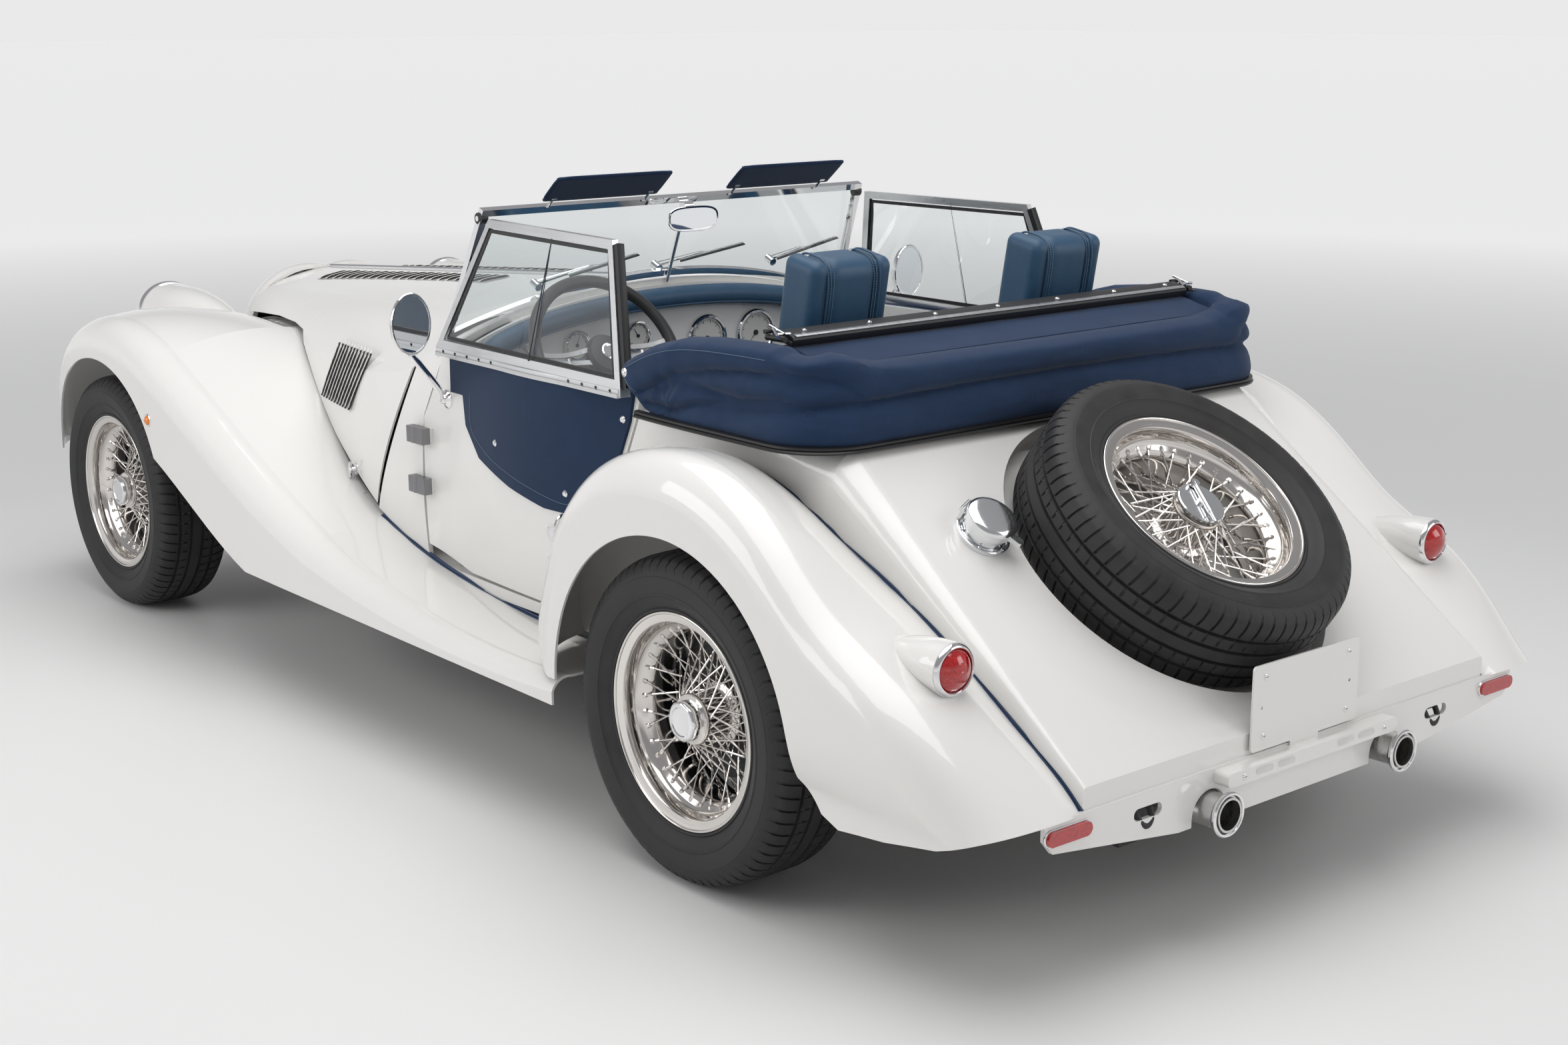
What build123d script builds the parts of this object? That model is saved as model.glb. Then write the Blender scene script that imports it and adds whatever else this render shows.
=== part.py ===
from build123d import *
from math import asin, atan2, cos, degrees, radians, sin, sqrt
import os

# Two-seat open roadster with flowing front wings, split bonnet, cut-down doors with removable
# sidescreens, a folded soft top and a spare wheel let into the sloping tail.
# Millimetres.  +X is the car's left, -Y is forwards, +Z is up, the wheels stand on Z = 0.

# ---------------------------------------------------------------- driving dimensions
wheelbase = 2520.0
rear_axle_y = 1070.0
front_axle_y = rear_axle_y - wheelbase
half_length = 1915.0            # wing noses at -Y, exhaust tips at +Y
wing_x = 825.0                  # outermost skin of the wings
tyre_radius = 313.5
tyre_width = 205.0
rim_half_width = 82.0
rear_wheel_x = 698.0
front_wheel_x = 693.0
kingpin_x = 620.0
skin = 5.0                      # folded sheet with its inner frame flange
gap = 5.0                       # shut lines
deck_slope = 37.15              # tail panel, degrees from level
deck_z = 363.0                  # lower edge of the tail panel
deck_y = 1863.0
front_arch = (-1420.0, 312.0, 372.0)     # centre y, z and radius of the wheel openings
rear_arch = (1075.0, 313.0, 355.0)
windscreen_rake = 22.5          # degrees from upright
spare_centre = (0.0, 1543.2, 605.0)      # on the tail panel's surface
recess_depth = 46.5
recess_radius = 338.0
door_hinge_x, door_hinge_y = 617.5, -125.0
door_hinge_heights = (650.0, 535.0)
knuckle_radius, knuckle_length = 8.0, 17.0

os.makedirs("parts", exist_ok=True)


def dome(r, h):
    """Middle point of a spherical cap's profile: distance from the axis, height above its rim."""
    radius = (r * r + h * h) / (2 * h)
    half = asin(r / radius) / 2
    return radius * sin(half), radius * cos(half) - (radius - h)


def save(node, name):
    node.part.label = name
    export_step(node.part, f"parts/{name}.step")


def cross(y):
    """Plane across the car at y: local x is the car's X, local y is Z."""
    return Plane.XZ.offset(-y)


def side_view(x=-900.0):
    """Plane seen from the car's left: local x is the car's Y, local y is Z."""
    return Plane.YZ.offset(x)


# ---------------------------------------------------------------- body side and scuttle sections
# Half sections across the car, outer skin:
# y, bottom x z, belly x z, shoulder x z, crown x z, top z on the centre line
scuttle_rows = [
    (-440.0, 583, 440, 590, 600, 563, 745, 380, 885, 947),
    (-200.0, 590, 330, 600, 600, 572, 800, 385, 905, 957),
    (30.0, 592, 322, 612, 600, 588, 866, 390, 925, 967),
]


def scuttle_face(row, t):
    y, bx, bz, mx, mz, sx, sz, cx, cz, tz = row
    drop = 30.0 if t else 0.0
    with BuildSketch(cross(y)) as face:
        with BuildLine():
            ThreePointArc((bx - t, bz - drop), (mx - t, mz), (sx - t, sz - t))
            crown = TangentArc((0, tz - t), (cx - 0.4 * t, cz - 0.9 * t), tangent=(1, 0))
            TangentArc(crown @ 1, (sx - t, sz - t), tangent=crown % 1)
            crown = TangentArc((0, tz - t), (-cx + 0.4 * t, cz - 0.9 * t), tangent=(-1, 0))
            TangentArc(crown @ 1, (-sx + t, sz - t), tangent=crown % 1)
            ThreePointArc((-sx + t, sz - t), (-mx + t, mz), (-bx + t, bz - drop))
            Line((-bx + t, bz - drop), (bx - t, bz - drop))
        make_face()
    return face.sketch


# Body side behind the scuttle, down the sills, past the doors and round the cabin:
# y, sill x, belly x, belly z, edge x, edge z, edge radius
tub_rows = [
    (-118.0, 592, 604, 600, 585, 866, 20),
    (200.0, 591, 626, 600, 606, 866, 20),
    (500.0, 590, 634, 600, 612, 866, 20),
    (760.0, 582, 593, 590, 600, 866, 24),
    (1010.0, 568, 577, 575, 588, 850, 40),
    (1262.0, 566, 575, 560, 580, 818, 60),
]
tub_base_z = 322.0
tail_rows = [
    (1262.0, 566, 575, 560, 580, 818, 60),
    (1865.0, 566, 567, 338, 566, 361.5, 8),
]


def tub_face(row, t=0.0, drop=0.0, rise=0.0):
    y, bx, mx, mz, ex, ez, r = row
    bx, mx, ex, ez = bx - t, mx - t, ex - t, ez - t + rise
    k = r * (1 - 0.7071)
    with BuildSketch(cross(y)) as face:
        with BuildLine():
            ThreePointArc((bx, tub_base_z - drop), (mx, mz), (ex, ez - r))
            ThreePointArc((ex, ez - r), (ex - k, ez - k), (ex - r, ez))
            Line((ex - r, ez), (r - ex, ez))
            ThreePointArc((r - ex, ez), (k - ex, ez - k), (-ex, ez - r))
            ThreePointArc((-ex, ez - r), (-mx, mz), (-bx, tub_base_z - drop))
            Line((-bx, tub_base_z - drop), (bx, tub_base_z - drop))
        make_face()
    return face.sketch


with BuildPart() as tub_form:
    add([tub_face(row) for row in tub_rows])
    loft()
with BuildPart() as tail_form:
    add([tub_face(row) for row in tail_rows])
    loft(ruled=True)
with BuildPart() as scuttle_form:
    add([scuttle_face(row, 0.0) for row in scuttle_rows])
    loft()

# Rear edge of the door and front edge of the rear quarter, y z from the sill up
door_rear_edge = [(482, 362), (496, 430), (533, 522), (591, 596), (645, 652), (704, 798), (722, 862)]
deck_normal = Vector(0, sin(radians(deck_slope)), cos(radians(deck_slope)))
deck_plane = Plane(origin=spare_centre, x_dir=(1, 0, 0), z_dir=deck_normal)

# ---------------------------------------------------------------- rear body
# Room inside the cabin, open at the top, and inside the tail, open underneath
with BuildPart() as cabin_room:
    add([tub_face(row, t=26.0, drop=20.0, rise=120.0) for row in tub_rows])
    loft()
    with BuildSketch(side_view()):
        with Locations((330, 600)):
            Rectangle(1580, 900)
    extrude(amount=1800, mode=Mode.INTERSECT)
with BuildPart() as tail_room:
    loft([tub_face(row, t=10.0, drop=20.0) for row in tub_rows])
    loft([tub_face(row, t=10.0, drop=20.0) for row in tail_rows], ruled=True)
    with BuildSketch(side_view()):
        with Locations((1495, 560)):
            Rectangle(720, 700)
    extrude(amount=1800, mode=Mode.INTERSECT)
with BuildPart() as recess_pan:
    with BuildSketch(deck_plane.offset(-recess_depth - 6)):
        Circle(recess_radius + 6)
    extrude(amount=recess_depth + 4)
    add(tail_form.part, mode=Mode.INTERSECT)

with BuildPart() as rear_body:
    add(tub_form.part)
    add(tail_form.part)
    with BuildSketch(side_view()):
        with BuildLine():
            Polyline([(-118, 320), (-118, 352), (486, 352)]
                     + [(y + 6, z) for y, z in door_rear_edge[1:-1]]
                     + [(722, 821.7), (760, 821.7), (1262, 821.7), (1320, 790), (1900, 352), (1900, 320), (-118, 320)])
        make_face()
    extrude(amount=1800, mode=Mode.INTERSECT)
    add(cabin_room.part, mode=Mode.SUBTRACT)
    add(tail_room.part, mode=Mode.SUBTRACT)
    add(recess_pan.part)
    with BuildSketch(deck_plane.offset(-recess_depth)):
        Circle(recess_radius)
    extrude(amount=recess_depth + 120, mode=Mode.SUBTRACT)
    # clearance for the axle tube
    with BuildSketch(side_view()):
        with Locations((rear_axle_y, tyre_radius)):
            Circle(118)
    extrude(amount=1800, mode=Mode.SUBTRACT)
save(rear_body, "rear_body")

# ---------------------------------------------------------------- scuttle with the door posts
with BuildPart() as scuttle_room:
    add([scuttle_face(row, 14.0) for row in scuttle_rows])
    loft()
with BuildPart() as scuttle:
    add(scuttle_form.part)
    add(scuttle_room.part, mode=Mode.SUBTRACT)
    with BuildSketch(side_view()):
        with BuildLine():
            Polyline((-352, 437), (-250, 401), (-136, 371), (-118, 367), (-118, 694), (-34, 866),
                     (0, 968), (0, 985), (-87, 985), (-352, 437))
        make_face()
    extrude(amount=1800, mode=Mode.INTERSECT)
    # fixed leaves and lower knuckles of the door hinges
    for z in door_hinge_heights:
        with BuildSketch(Plane.XY.offset(z - knuckle_length)):
            with Locations((door_hinge_x, door_hinge_y), (-door_hinge_x, door_hinge_y)):
                Circle(knuckle_radius)
            with Locations((door_hinge_x - 6, door_hinge_y - 13), (6 - door_hinge_x, door_hinge_y - 13)):
                Rectangle(22, 26)
        extrude(amount=knuckle_length)
save(scuttle, "scuttle")

# ---------------------------------------------------------------- bonnet halves
# y, bottom x z, middle x, shoulder x z, crown x z, centre z
bonnet_rows = [
    (-1640.0, 268, 560, 276, 272, 690, 205, 802, 845),
    (-1300.0, 370, 560, 371, 360, 735, 262, 832, 871),
    (-800.0, 500, 540, 504, 492, 740, 345, 865, 909),
    (-420.0, 578, 431, 586, 560, 750, 367, 888, 938),
    (-60.0, 592, 325, 601, 580, 830, 388, 914, 965),
]


def bonnet_face(row, t):
    y, bx, bz, mx, sx, sz, cx, cz, tz = row
    drop = 40.0 if t else 0.0
    with BuildSketch(cross(y)) as face:
        with BuildLine():
            crown = TangentArc((0, tz - t), (cx - 0.4 * t, cz - 0.9 * t), tangent=(1, 0))
            TangentArc(crown @ 1, (sx - t, sz), tangent=crown % 1)
            ThreePointArc((sx - t, sz), (mx - t, (bz + sz) / 2), (bx - t, bz - drop))
            Line((0, tz - t), (0, bz - drop))
            Line((0, bz - drop), (bx - t, bz - drop))
        make_face()
    return face.sketch


hinge_front = Vector(0, -1642, 845.0)
hinge_line = Vector(0, -90, 962.9) - hinge_front
with BuildPart() as bonnet_form:
    add([bonnet_face(row, 0.0) for row in bonnet_rows])
    loft()
with BuildPart() as bonnet_left:
    add(bonnet_form.part)
    add([bonnet_face(row, skin) for row in bonnet_rows])
    loft(mode=Mode.SUBTRACT)
    with BuildSketch(side_view(2.5)):
        with BuildLine():
            Polyline((-1635, 738), (-1300, 768), (-1110, 776), (-1010, 771), (-900, 712), (-751, 626), (-640, 566),
                     (-520, 514), (-362, 446), (-101, 977), (-101, 1100), (-1635, 1100), (-1635, 738))
        make_face()
    extrude(amount=900, mode=Mode.INTERSECT)
save(bonnet_left, "bonnet_left")
with BuildPart() as bonnet_right:
    add(bonnet_left.part)
    mirror(about=Plane.YZ, mode=Mode.REPLACE)
save(bonnet_right, "bonnet_right")

# ---------------------------------------------------------------- radiator cowl and grille
# y, top z, shoulder x z, waist x z, foot x z, base z
cowl_rows = [
    (-1640.0, 845, 205, 802, 268, 690, 225, 430, 330),
    (-1725.0, 826, 196, 785, 252, 675, 212, 425, 330),
    (-1775.0, 770, 170, 735, 222, 640, 190, 420, 335),
]


def cowl_face(row, t):
    y, tz, cx, cz, sx, sz, fx, fz, bz = row
    with BuildSketch(cross(y)) as face:
        with BuildLine():
            ThreePointArc((0, tz - t), (cx - 0.6 * t, cz - 0.8 * t), (sx - t, sz))
            ThreePointArc((sx - t, sz), (fx + 22 - t, fz + 120), (fx - t, fz))
            ThreePointArc((fx - t, fz), (fx / 2 + 30 - 0.5 * t, bz + 18 + 0.7 * t), (0, bz + t))
            ThreePointArc((0, bz + t), (-fx / 2 - 30 + 0.5 * t, bz + 18 + 0.7 * t), (-fx + t, fz))
            ThreePointArc((-fx + t, fz), (-fx - 22 + t, fz + 120), (-sx + t, sz))
            ThreePointArc((-sx + t, sz), (-cx + 0.6 * t, cz - 0.8 * t), (0, tz - t))
        make_face()
    return face.sketch


with BuildPart() as cowl_form:
    loft([cowl_face(row, 0.0) for row in cowl_rows])
with BuildPart() as cowl_room:
    loft([cowl_face(row, 14.0) for row in cowl_rows])
with BuildPart() as radiator_cowl:
    add(cowl_form.part)
    add(cowl_room.part, mode=Mode.SUBTRACT)
    # pin of the bonnet's centre hinge, from the cowl back to the scuttle
    with BuildSketch(Plane(origin=hinge_front, z_dir=hinge_line)):
        Circle(2.3)
    extrude(amount=hinge_line.length)
    add(scuttle.part, mode=Mode.SUBTRACT)
save(radiator_cowl, "radiator_cowl")

grille_pitch = 24.0
with BuildPart() as grille:
    # curved vertical slats on a frame let into the cowl's mouth
    with BuildSketch(Plane.XY.offset(345)):
        with Locations(*[(grille_pitch * i, -1738) for i in range(-7, 8)]):
            Rectangle(7, 34)
        with Locations((0, -1716)):
            Rectangle(440, 10)
    extrude(amount=480)
    add(cowl_room.part, mode=Mode.INTERSECT)
save(grille, "grille")

# ---------------------------------------------------------------- front wings and running boards
# y, inner x z, mid x z, crown x z, shoulder x z, side x z
wing_rows = [
    (-half_length, 540, 386, 590, 391, 640, 392, 680, 390, 700, 384),
    (-1850.0, 400, 482, 550, 533, 680, 520, 732, 495, 755, 440),
    (-1740.0, 262, 592, 500, 682, 705, 668, 772, 640, 800, 575),
    (-1600.0, 285, 712, 525, 768, 730, 755, 796, 728, 820, 660),
    (-1440.0, 330, 742, 545, 795, 738, 790, 802, 764, 825, 700),
    (-1280.0, 366, 754, 560, 793, 738, 782, 802, 757, 825, 696),
    (-1110.0, 410, 764, 590, 765, 738, 732, 802, 706, 825, 650),
    (-880.0, 470, 688, 610, 662, 740, 633, 803, 608, 825, 552),
    (-600.0, 545, 532, 645, 526, 742, 511, 804, 487, 825, 440),
    (-300.0, 588, 413, 668, 413, 750, 404, 806, 385, 825, 350),
    (60.0, 588, 334, 675, 339, 762, 337, 810, 325, 825, 300),
    (715.0, 588, 317, 680, 320, 776, 319, 813, 311, 825, 292),
]
wing_base_z = 248.0


def wing_face(row):
    y, ax, az, bx, bz, cx, cz, dx, dz, ex, ez = row
    low = max(wing_base_z, ez - 170)
    t = skin
    with BuildSketch(cross(y)) as face:
        with BuildLine():
            ThreePointArc((ax, az), (bx, bz), (cx, cz))
            ThreePointArc((cx, cz), (dx, dz), (ex, ez))
            Line((ex, ez), (ex, low))
            Line((ex, low), (ex - t, low))
            Line((ex - t, low), (ex - t, ez))
            ThreePointArc((ex - t, ez), (dx - 0.75 * t, dz - 0.75 * t), (cx, cz - t))
            ThreePointArc((cx, cz - t), (bx, bz - t), (ax, az - t))
            Line((ax, az - t), (ax, az))
        make_face()
    return face.sketch


# Side view of everything cut away below the front wing: nose, wheel opening, running board edge
with BuildPart() as front_wing_cut:
    with BuildSketch(side_view(500)):
        with BuildLine():
            Polyline((-1950, 100), (-1950, 383), (-1780, 383), (-1420, 330), (-1056, 350), (-1020, 310),
                     (-950, 283), (-840, 271), (-400, 268), (740, 266), (740, 100), (-1950, 100))
        make_face()
        with Locations((front_arch[0], front_arch[1])):
            Circle(front_arch[2])
    extrude(amount=400)

headlamp_x, headlamp_z = 458.0, 733.0
lamp_radius, lamp_seat_y, lamp_front_y, lamp_room = 90.0, -1765.0, -1793.0, 0.6
with BuildPart() as front_wing_left:
    for first, last in ((0, 4), (3, 7), (6, 10), (9, 12)):
        loft([wing_face(row) for row in wing_rows[first:last]])
    add(front_wing_cut.part, mode=Mode.SUBTRACT)
    add(tub_form.part, mode=Mode.SUBTRACT)
    add(scuttle_form.part, mode=Mode.SUBTRACT)
    add(cowl_form.part, mode=Mode.SUBTRACT)
    # headlamp nacelle faired into the wing
    with BuildSketch(Plane.XY.offset(headlamp_z)):
        with BuildLine():
            Line((headlamp_x, lamp_seat_y), (headlamp_x + lamp_radius, lamp_seat_y))
            Line((headlamp_x + lamp_radius, lamp_seat_y), (headlamp_x + lamp_radius, -1640))
            ThreePointArc((headlamp_x + lamp_radius, -1640), (headlamp_x + 70, -1470), (headlamp_x, -1270))
            Line((headlamp_x, -1270), (headlamp_x, lamp_seat_y))
        make_face()
    revolve(axis=Axis((headlamp_x, 0, headlamp_z), (0, 1, 0)))
    # seat for the lamp's ring where it dips into the wing
    with BuildSketch(cross(lamp_seat_y)):
        with Locations((headlamp_x, headlamp_z)):
            Circle(lamp_radius + lamp_room)
    extrude(amount=40, mode=Mode.SUBTRACT)
with BuildPart() as front_wings:
    add(front_wing_left.part)
    mirror(about=Plane.YZ)
save(front_wings, "front_wings")

with BuildPart() as headlamps:
    with BuildSketch(Plane.XY.offset(headlamp_z)):
        with BuildLine():
            rim_y = lamp_front_y + 20
            bulge = dome(lamp_radius, 20)
            Line((headlamp_x, lamp_seat_y), (headlamp_x + lamp_radius, lamp_seat_y))
            Line((headlamp_x + lamp_radius, lamp_seat_y), (headlamp_x + lamp_radius, rim_y))
            ThreePointArc((headlamp_x + lamp_radius, rim_y), (headlamp_x + bulge[0], rim_y - bulge[1]),
                          (headlamp_x, lamp_front_y))
            Line((headlamp_x, lamp_front_y), (headlamp_x, lamp_seat_y))
        make_face()
    revolve(axis=Axis((headlamp_x, 0, headlamp_z), (0, 1, 0)))
    mirror(about=Plane.YZ)
save(headlamps, "headlamps")

# ---------------------------------------------------------------- rear wings
# Sections in planes through the rear axle: angle above level (180 is straight forwards), then
# x and distance from the axle of: body joint, mid, crown, shoulder, side
rear_rows = [
    (182, 588, 576, 660, 548, 742, 482, 795, 420, 820, 372),
    (162, 588, 562, 660, 548, 742, 502, 797, 448, 822, 385),
    (141, 588, 515, 660, 516, 738, 503, 800, 466, 824, 408),
    (118, 585, 478, 660, 502, 740, 508, 803, 484, 825, 428),
    (95, 580, 440, 655, 486, 740, 502, 803, 478, 825, 425),
    (72, 575, 404, 655, 466, 742, 490, 803, 466, 825, 418),
    (50, 572, 420, 655, 462, 742, 477, 803, 456, 825, 412),
    (32, 570, 486, 655, 506, 742, 508, 802, 486, 825, 432),
    (18, 569, 574, 650, 606, 735, 612, 797, 588, 824, 520),
    (8, 568, 680, 645, 708, 725, 706, 790, 672, 820, 590),
    (0, 567, 796, 635, 814, 705, 806, 765, 772, 803, 690),
    (-9, 567, 802, 635, 822, 705, 812, 765, 780, 800, 700),
]
rear_lip = 345.0


def rear_face(row):
    a, ax, ar, bx, br, cx, cr, dx, dr, ex, er = row
    t = skin
    c, s = cos(radians(a)), sin(radians(a))
    spoke = Plane(origin=(0, rear_axle_y, tyre_radius), x_dir=(1, 0, 0), z_dir=(0, -s, c))
    with BuildSketch(spoke) as face:
        with BuildLine():
            ThreePointArc((ax, ar), (bx, br), (cx, cr))
            ThreePointArc((cx, cr), (dx, dr), (ex, er))
            Line((ex, er), (ex, rear_lip))
            Line((ex, rear_lip), (ex - t, rear_lip))
            Line((ex - t, rear_lip), (ex - t, er))
            ThreePointArc((ex - t, er), (dx - 0.75 * t, dr - 0.75 * t), (cx, cr - t))
            ThreePointArc((cx, cr - t), (bx, br - t), (ax, ar - t))
            Line((ax, ar - t), (ax, ar))
        make_face()
    return face.sketch


with BuildPart() as rear_wing_cut:
    with BuildSketch(side_view(500)):
        with BuildLine():
            Polyline((400, 100), (400, 319), (736, 319), (1000, 300), (1424, 318), (1445, 300), (1485, 262), (1530, 247),
                     (1640, 258), (1761, 280), (1838, 308), (1880, 322), (1990, 322), (1990, 100), (400, 100))
        make_face()
        with Locations((rear_arch[0], rear_arch[1])):
            Circle(rear_arch[2])
    extrude(amount=400)
with BuildPart() as rear_wing_left:
    add([rear_face(row) for row in rear_rows])
    loft()
    add(rear_wing_cut.part, mode=Mode.SUBTRACT)
    add(tub_form.part, mode=Mode.SUBTRACT)
    add(tail_form.part, mode=Mode.SUBTRACT)
with BuildPart() as rear_wings:
    add(rear_wing_left.part)
    mirror(about=Plane.YZ)
save(rear_wings, "rear_wings")
# ---------------------------------------------------------------- chassis, with the floor and the inner front panels
rail_x, rail_z, floor_z = 320.0, (165.0, 236.0), 248.0
with BuildPart() as chassis:
    with BuildSketch(Plane.XY.offset(rail_z[0])):
        with Locations((rail_x, 30), (-rail_x, 30)):
            Rectangle(46, 3440)
        for y in (-1655, -1000, -300, 400, 1180, 1720):
            with Locations((0, y)):
                Rectangle(2 * rail_x, 60)
    extrude(amount=rail_z[1] - rail_z[0])
    with BuildSketch(Plane.XY.offset(rail_z[1])):
        with BuildLine():
            Polyline((-586, -352), (586, -352), (588, 720), (566, 942), (-566, 942), (-588, 720), (-586, -352))
        make_face()
    extrude(amount=floor_z - rail_z[1])
save(chassis, "chassis")

with BuildPart() as engine:
    with BuildSketch(Plane.XY.offset(rail_z[1])):
        with Locations((0, -1010)):
            Rectangle(360, 620)
    extrude(amount=500)
save(engine, "engine")

# ---------------------------------------------------------------- cabin trim
with BuildPart() as cabin_trim:
    # transmission tunnel
    with BuildSketch(cross(-338)):
        with BuildLine():
            Line((-106, 248), (106, 248))
            Line((106, 248), (88, 400))
            ThreePointArc((88, 400), (0, 452), (-88, 400))
            Line((-88, 400), (-106, 248))
        make_face()
    extrude(amount=-1262)
    # front and rear bulkheads
    with BuildSketch(cross(-350)):
        with BuildLine():
            Polyline((-528, 248), (528, 248), (518, 690), (480, 775), (340, 838), (180, 872), (-180, 872), (-340, 838),
                     (-480, 775), (-518, 690), (-528, 248))
        make_face()
    extrude(amount=-12)
    # heel board and shelf over the rear axle
    with BuildSketch(side_view(-536)):
        with BuildLine():
            Polyline((930, 248), (942, 248), (942, 470), (1120, 470), (1120, 482), (930, 482), (930, 248))
        make_face()
    extrude(amount=1072)
save(cabin_trim, "cabin_trim")

with BuildPart() as inner_panel_left:
    # upright panel between the frame and the wing, engine bay side
    with BuildSketch(Plane.XY.offset(rail_z[1])):
        with BuildLine():
            Polyline((270, -1640), (362, -1300), (408, -1110), (468, -880), (520, -690), (545, -600), (580, -352),
                     (574, -352), (539, -600), (514, -690), (462, -880), (402, -1110), (356, -1300), (264, -1640),
                     (270, -1640))
        make_face()
    extrude(amount=560)
    with BuildSketch(side_view(200)):
        with BuildLine():
            Polyline((-1700, rail_z[1]), (-1700, 640), (-1640, 680), (-1600, 705), (-1440, 732), (-1280, 745),
                     (-1110, 755), (-880, 678), (-600, 523), (-352, 428), (-352, floor_z + 1), (-1700, rail_z[1]))
        make_face()
        with Locations((front_axle_y, 330)):
            Rectangle(90, 300, mode=Mode.SUBTRACT)
    extrude(amount=500, mode=Mode.INTERSECT)
    add(front_wing_left.part, mode=Mode.SUBTRACT)
    add(cabin_trim.part, mode=Mode.SUBTRACT)
    add(chassis.part, mode=Mode.SUBTRACT)
with BuildPart() as inner_panels:
    add(inner_panel_left.part.solids().sort_by(SortBy.VOLUME)[-1])
    # sill board between floor and body
    with BuildSketch(Plane.XY.offset(floor_z)):
        with Locations((572, 300)):
            Rectangle(24, 900)
    extrude(amount=tub_base_z - floor_z)
    mirror(about=Plane.YZ)
save(inner_panels, "inner_panels")

# ---------------------------------------------------------------- windscreen
screen_foot_z = 866.0
screen_plane = Plane(origin=(0, -52.7, screen_foot_z), x_dir=(1, 0, 0),
                     z_dir=(0, -cos(radians(windscreen_rake)), sin(radians(windscreen_rake))))
screen_top, screen_half_top, screen_half_foot, screen_rise = 322.0, 546.0, 576.0, 116.0
bar = 15.0
with BuildPart() as windscreen_frame:
    with BuildSketch(screen_plane):
        with BuildLine():
            ThreePointArc((-screen_half_foot, 0), (0, screen_rise), (screen_half_foot, 0))
            Line((screen_half_foot, 0), (screen_half_top, screen_top))
            Line((screen_half_top, screen_top), (-screen_half_top, screen_top))
            Line((-screen_half_top, screen_top), (-screen_half_foot, 0))
        make_face()
        with BuildLine():
            ThreePointArc((-screen_half_foot + bar + 3, 24), (0, screen_rise + bar), (screen_half_foot - bar - 3, 24))
            Line((screen_half_foot - bar - 3, 24), (screen_half_top - bar, screen_top - bar))
            Line((screen_half_top - bar, screen_top - bar), (-screen_half_top + bar, screen_top - bar))
            Line((-screen_half_top + bar, screen_top - bar), (-screen_half_foot + bar + 3, 24))
        make_face(mode=Mode.SUBTRACT)
    extrude(amount=8, both=True)
    # feet down to the scuttle's shoulders
    with BuildSketch(screen_plane):
        with Locations((screen_half_foot - 2, -26), (-screen_half_foot + 2, -26)):
            Rectangle(14, 64)
    extrude(amount=8, both=True)
    add(scuttle_form.part, mode=Mode.SUBTRACT)
save(windscreen_frame, "windscreen_frame")

with BuildPart() as windscreen_glass:
    with BuildSketch(screen_plane):
        with BuildLine():
            ThreePointArc((-screen_half_foot + bar + 3, 24), (0, screen_rise + bar), (screen_half_foot - bar - 3, 24))
            Line((screen_half_foot - bar - 3, 24), (screen_half_top - bar, screen_top - bar))
            Line((screen_half_top - bar, screen_top - bar), (-screen_half_top + bar, screen_top - bar))
            Line((-screen_half_top + bar, screen_top - bar), (-screen_half_foot + bar + 3, 24))
        make_face()
    extrude(amount=2.5, both=True)
save(windscreen_glass, "windscreen_glass")

with BuildPart() as wipers:
    for x in (-330, 20, 350):
        v = screen_rise * (1 - (x / screen_half_foot) ** 2) + 30
        foot = screen_plane.offset(14) * Location((x, v - 44, 0))
        with BuildSketch(Plane(foot)):
            Circle(9)
        extrude(amount=-34)
        with BuildSketch(Plane(foot)):
            with Locations(Location((-58, 62, 0), 135)):
                SlotOverall(190, 8)
        extrude(amount=5)
        with BuildSketch(Plane(foot).offset(-4.5)):
            with Locations(Location((-120, 118, 0), 170)):
                Rectangle(210, 7)
        extrude(amount=6)
    add(scuttle_form.part, mode=Mode.SUBTRACT)
save(wipers, "wipers")

# visors folded up: panels that lean back from the top rail on two arms
visor_foot = Vector(255, 100, 1175)
visor_up = Vector(0, cos(radians(39)), sin(radians(39)))
visor_width, visor_depth, visor_half = 310.0, 85.0, 4.5
with BuildPart() as sun_visors:
    visor_plane = Plane(origin=visor_foot + visor_up * (visor_depth / 2), x_dir=(1, 0, 0),
                        z_dir=Vector(1, 0, 0).cross(visor_up))
    with BuildSketch(visor_plane):
        RectangleRounded(visor_width, visor_depth, 10)
    extrude(amount=visor_half, both=True)
    for side in (-130, 130):
        arm_foot = Vector(visor_foot.X + side, 68, 1160)
        arm = visor_foot + Vector(side, 0, 0) + visor_up * 6 - arm_foot
        with BuildSketch(Plane(origin=arm_foot, z_dir=arm)):
            Circle(4)
        extrude(amount=arm.length)
    add(windscreen_frame.part, mode=Mode.SUBTRACT)
    mirror(about=Plane.YZ)
save(sun_visors, "sun_visors")

with BuildPart() as cabin_mirror:
    with BuildSketch(cross(108)):
        with Locations((0, 1112)):
            Ellipse(72, 26)
    extrude(amount=14)
    with BuildSketch(screen_plane.offset(-8)):
        with Locations((0, (screen_top + screen_rise) / 2)):
            Rectangle(7, screen_top - screen_rise - 12)
    extrude(amount=-6)
    with BuildSketch(cross(94.2)):
        with Locations((0, 1112)):
            Circle(7)
    extrude(amount=36)
    add(windscreen_glass.part, mode=Mode.SUBTRACT)
    add(windscreen_frame.part, mode=Mode.SUBTRACT)
save(cabin_mirror, "cabin_mirror")

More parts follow.
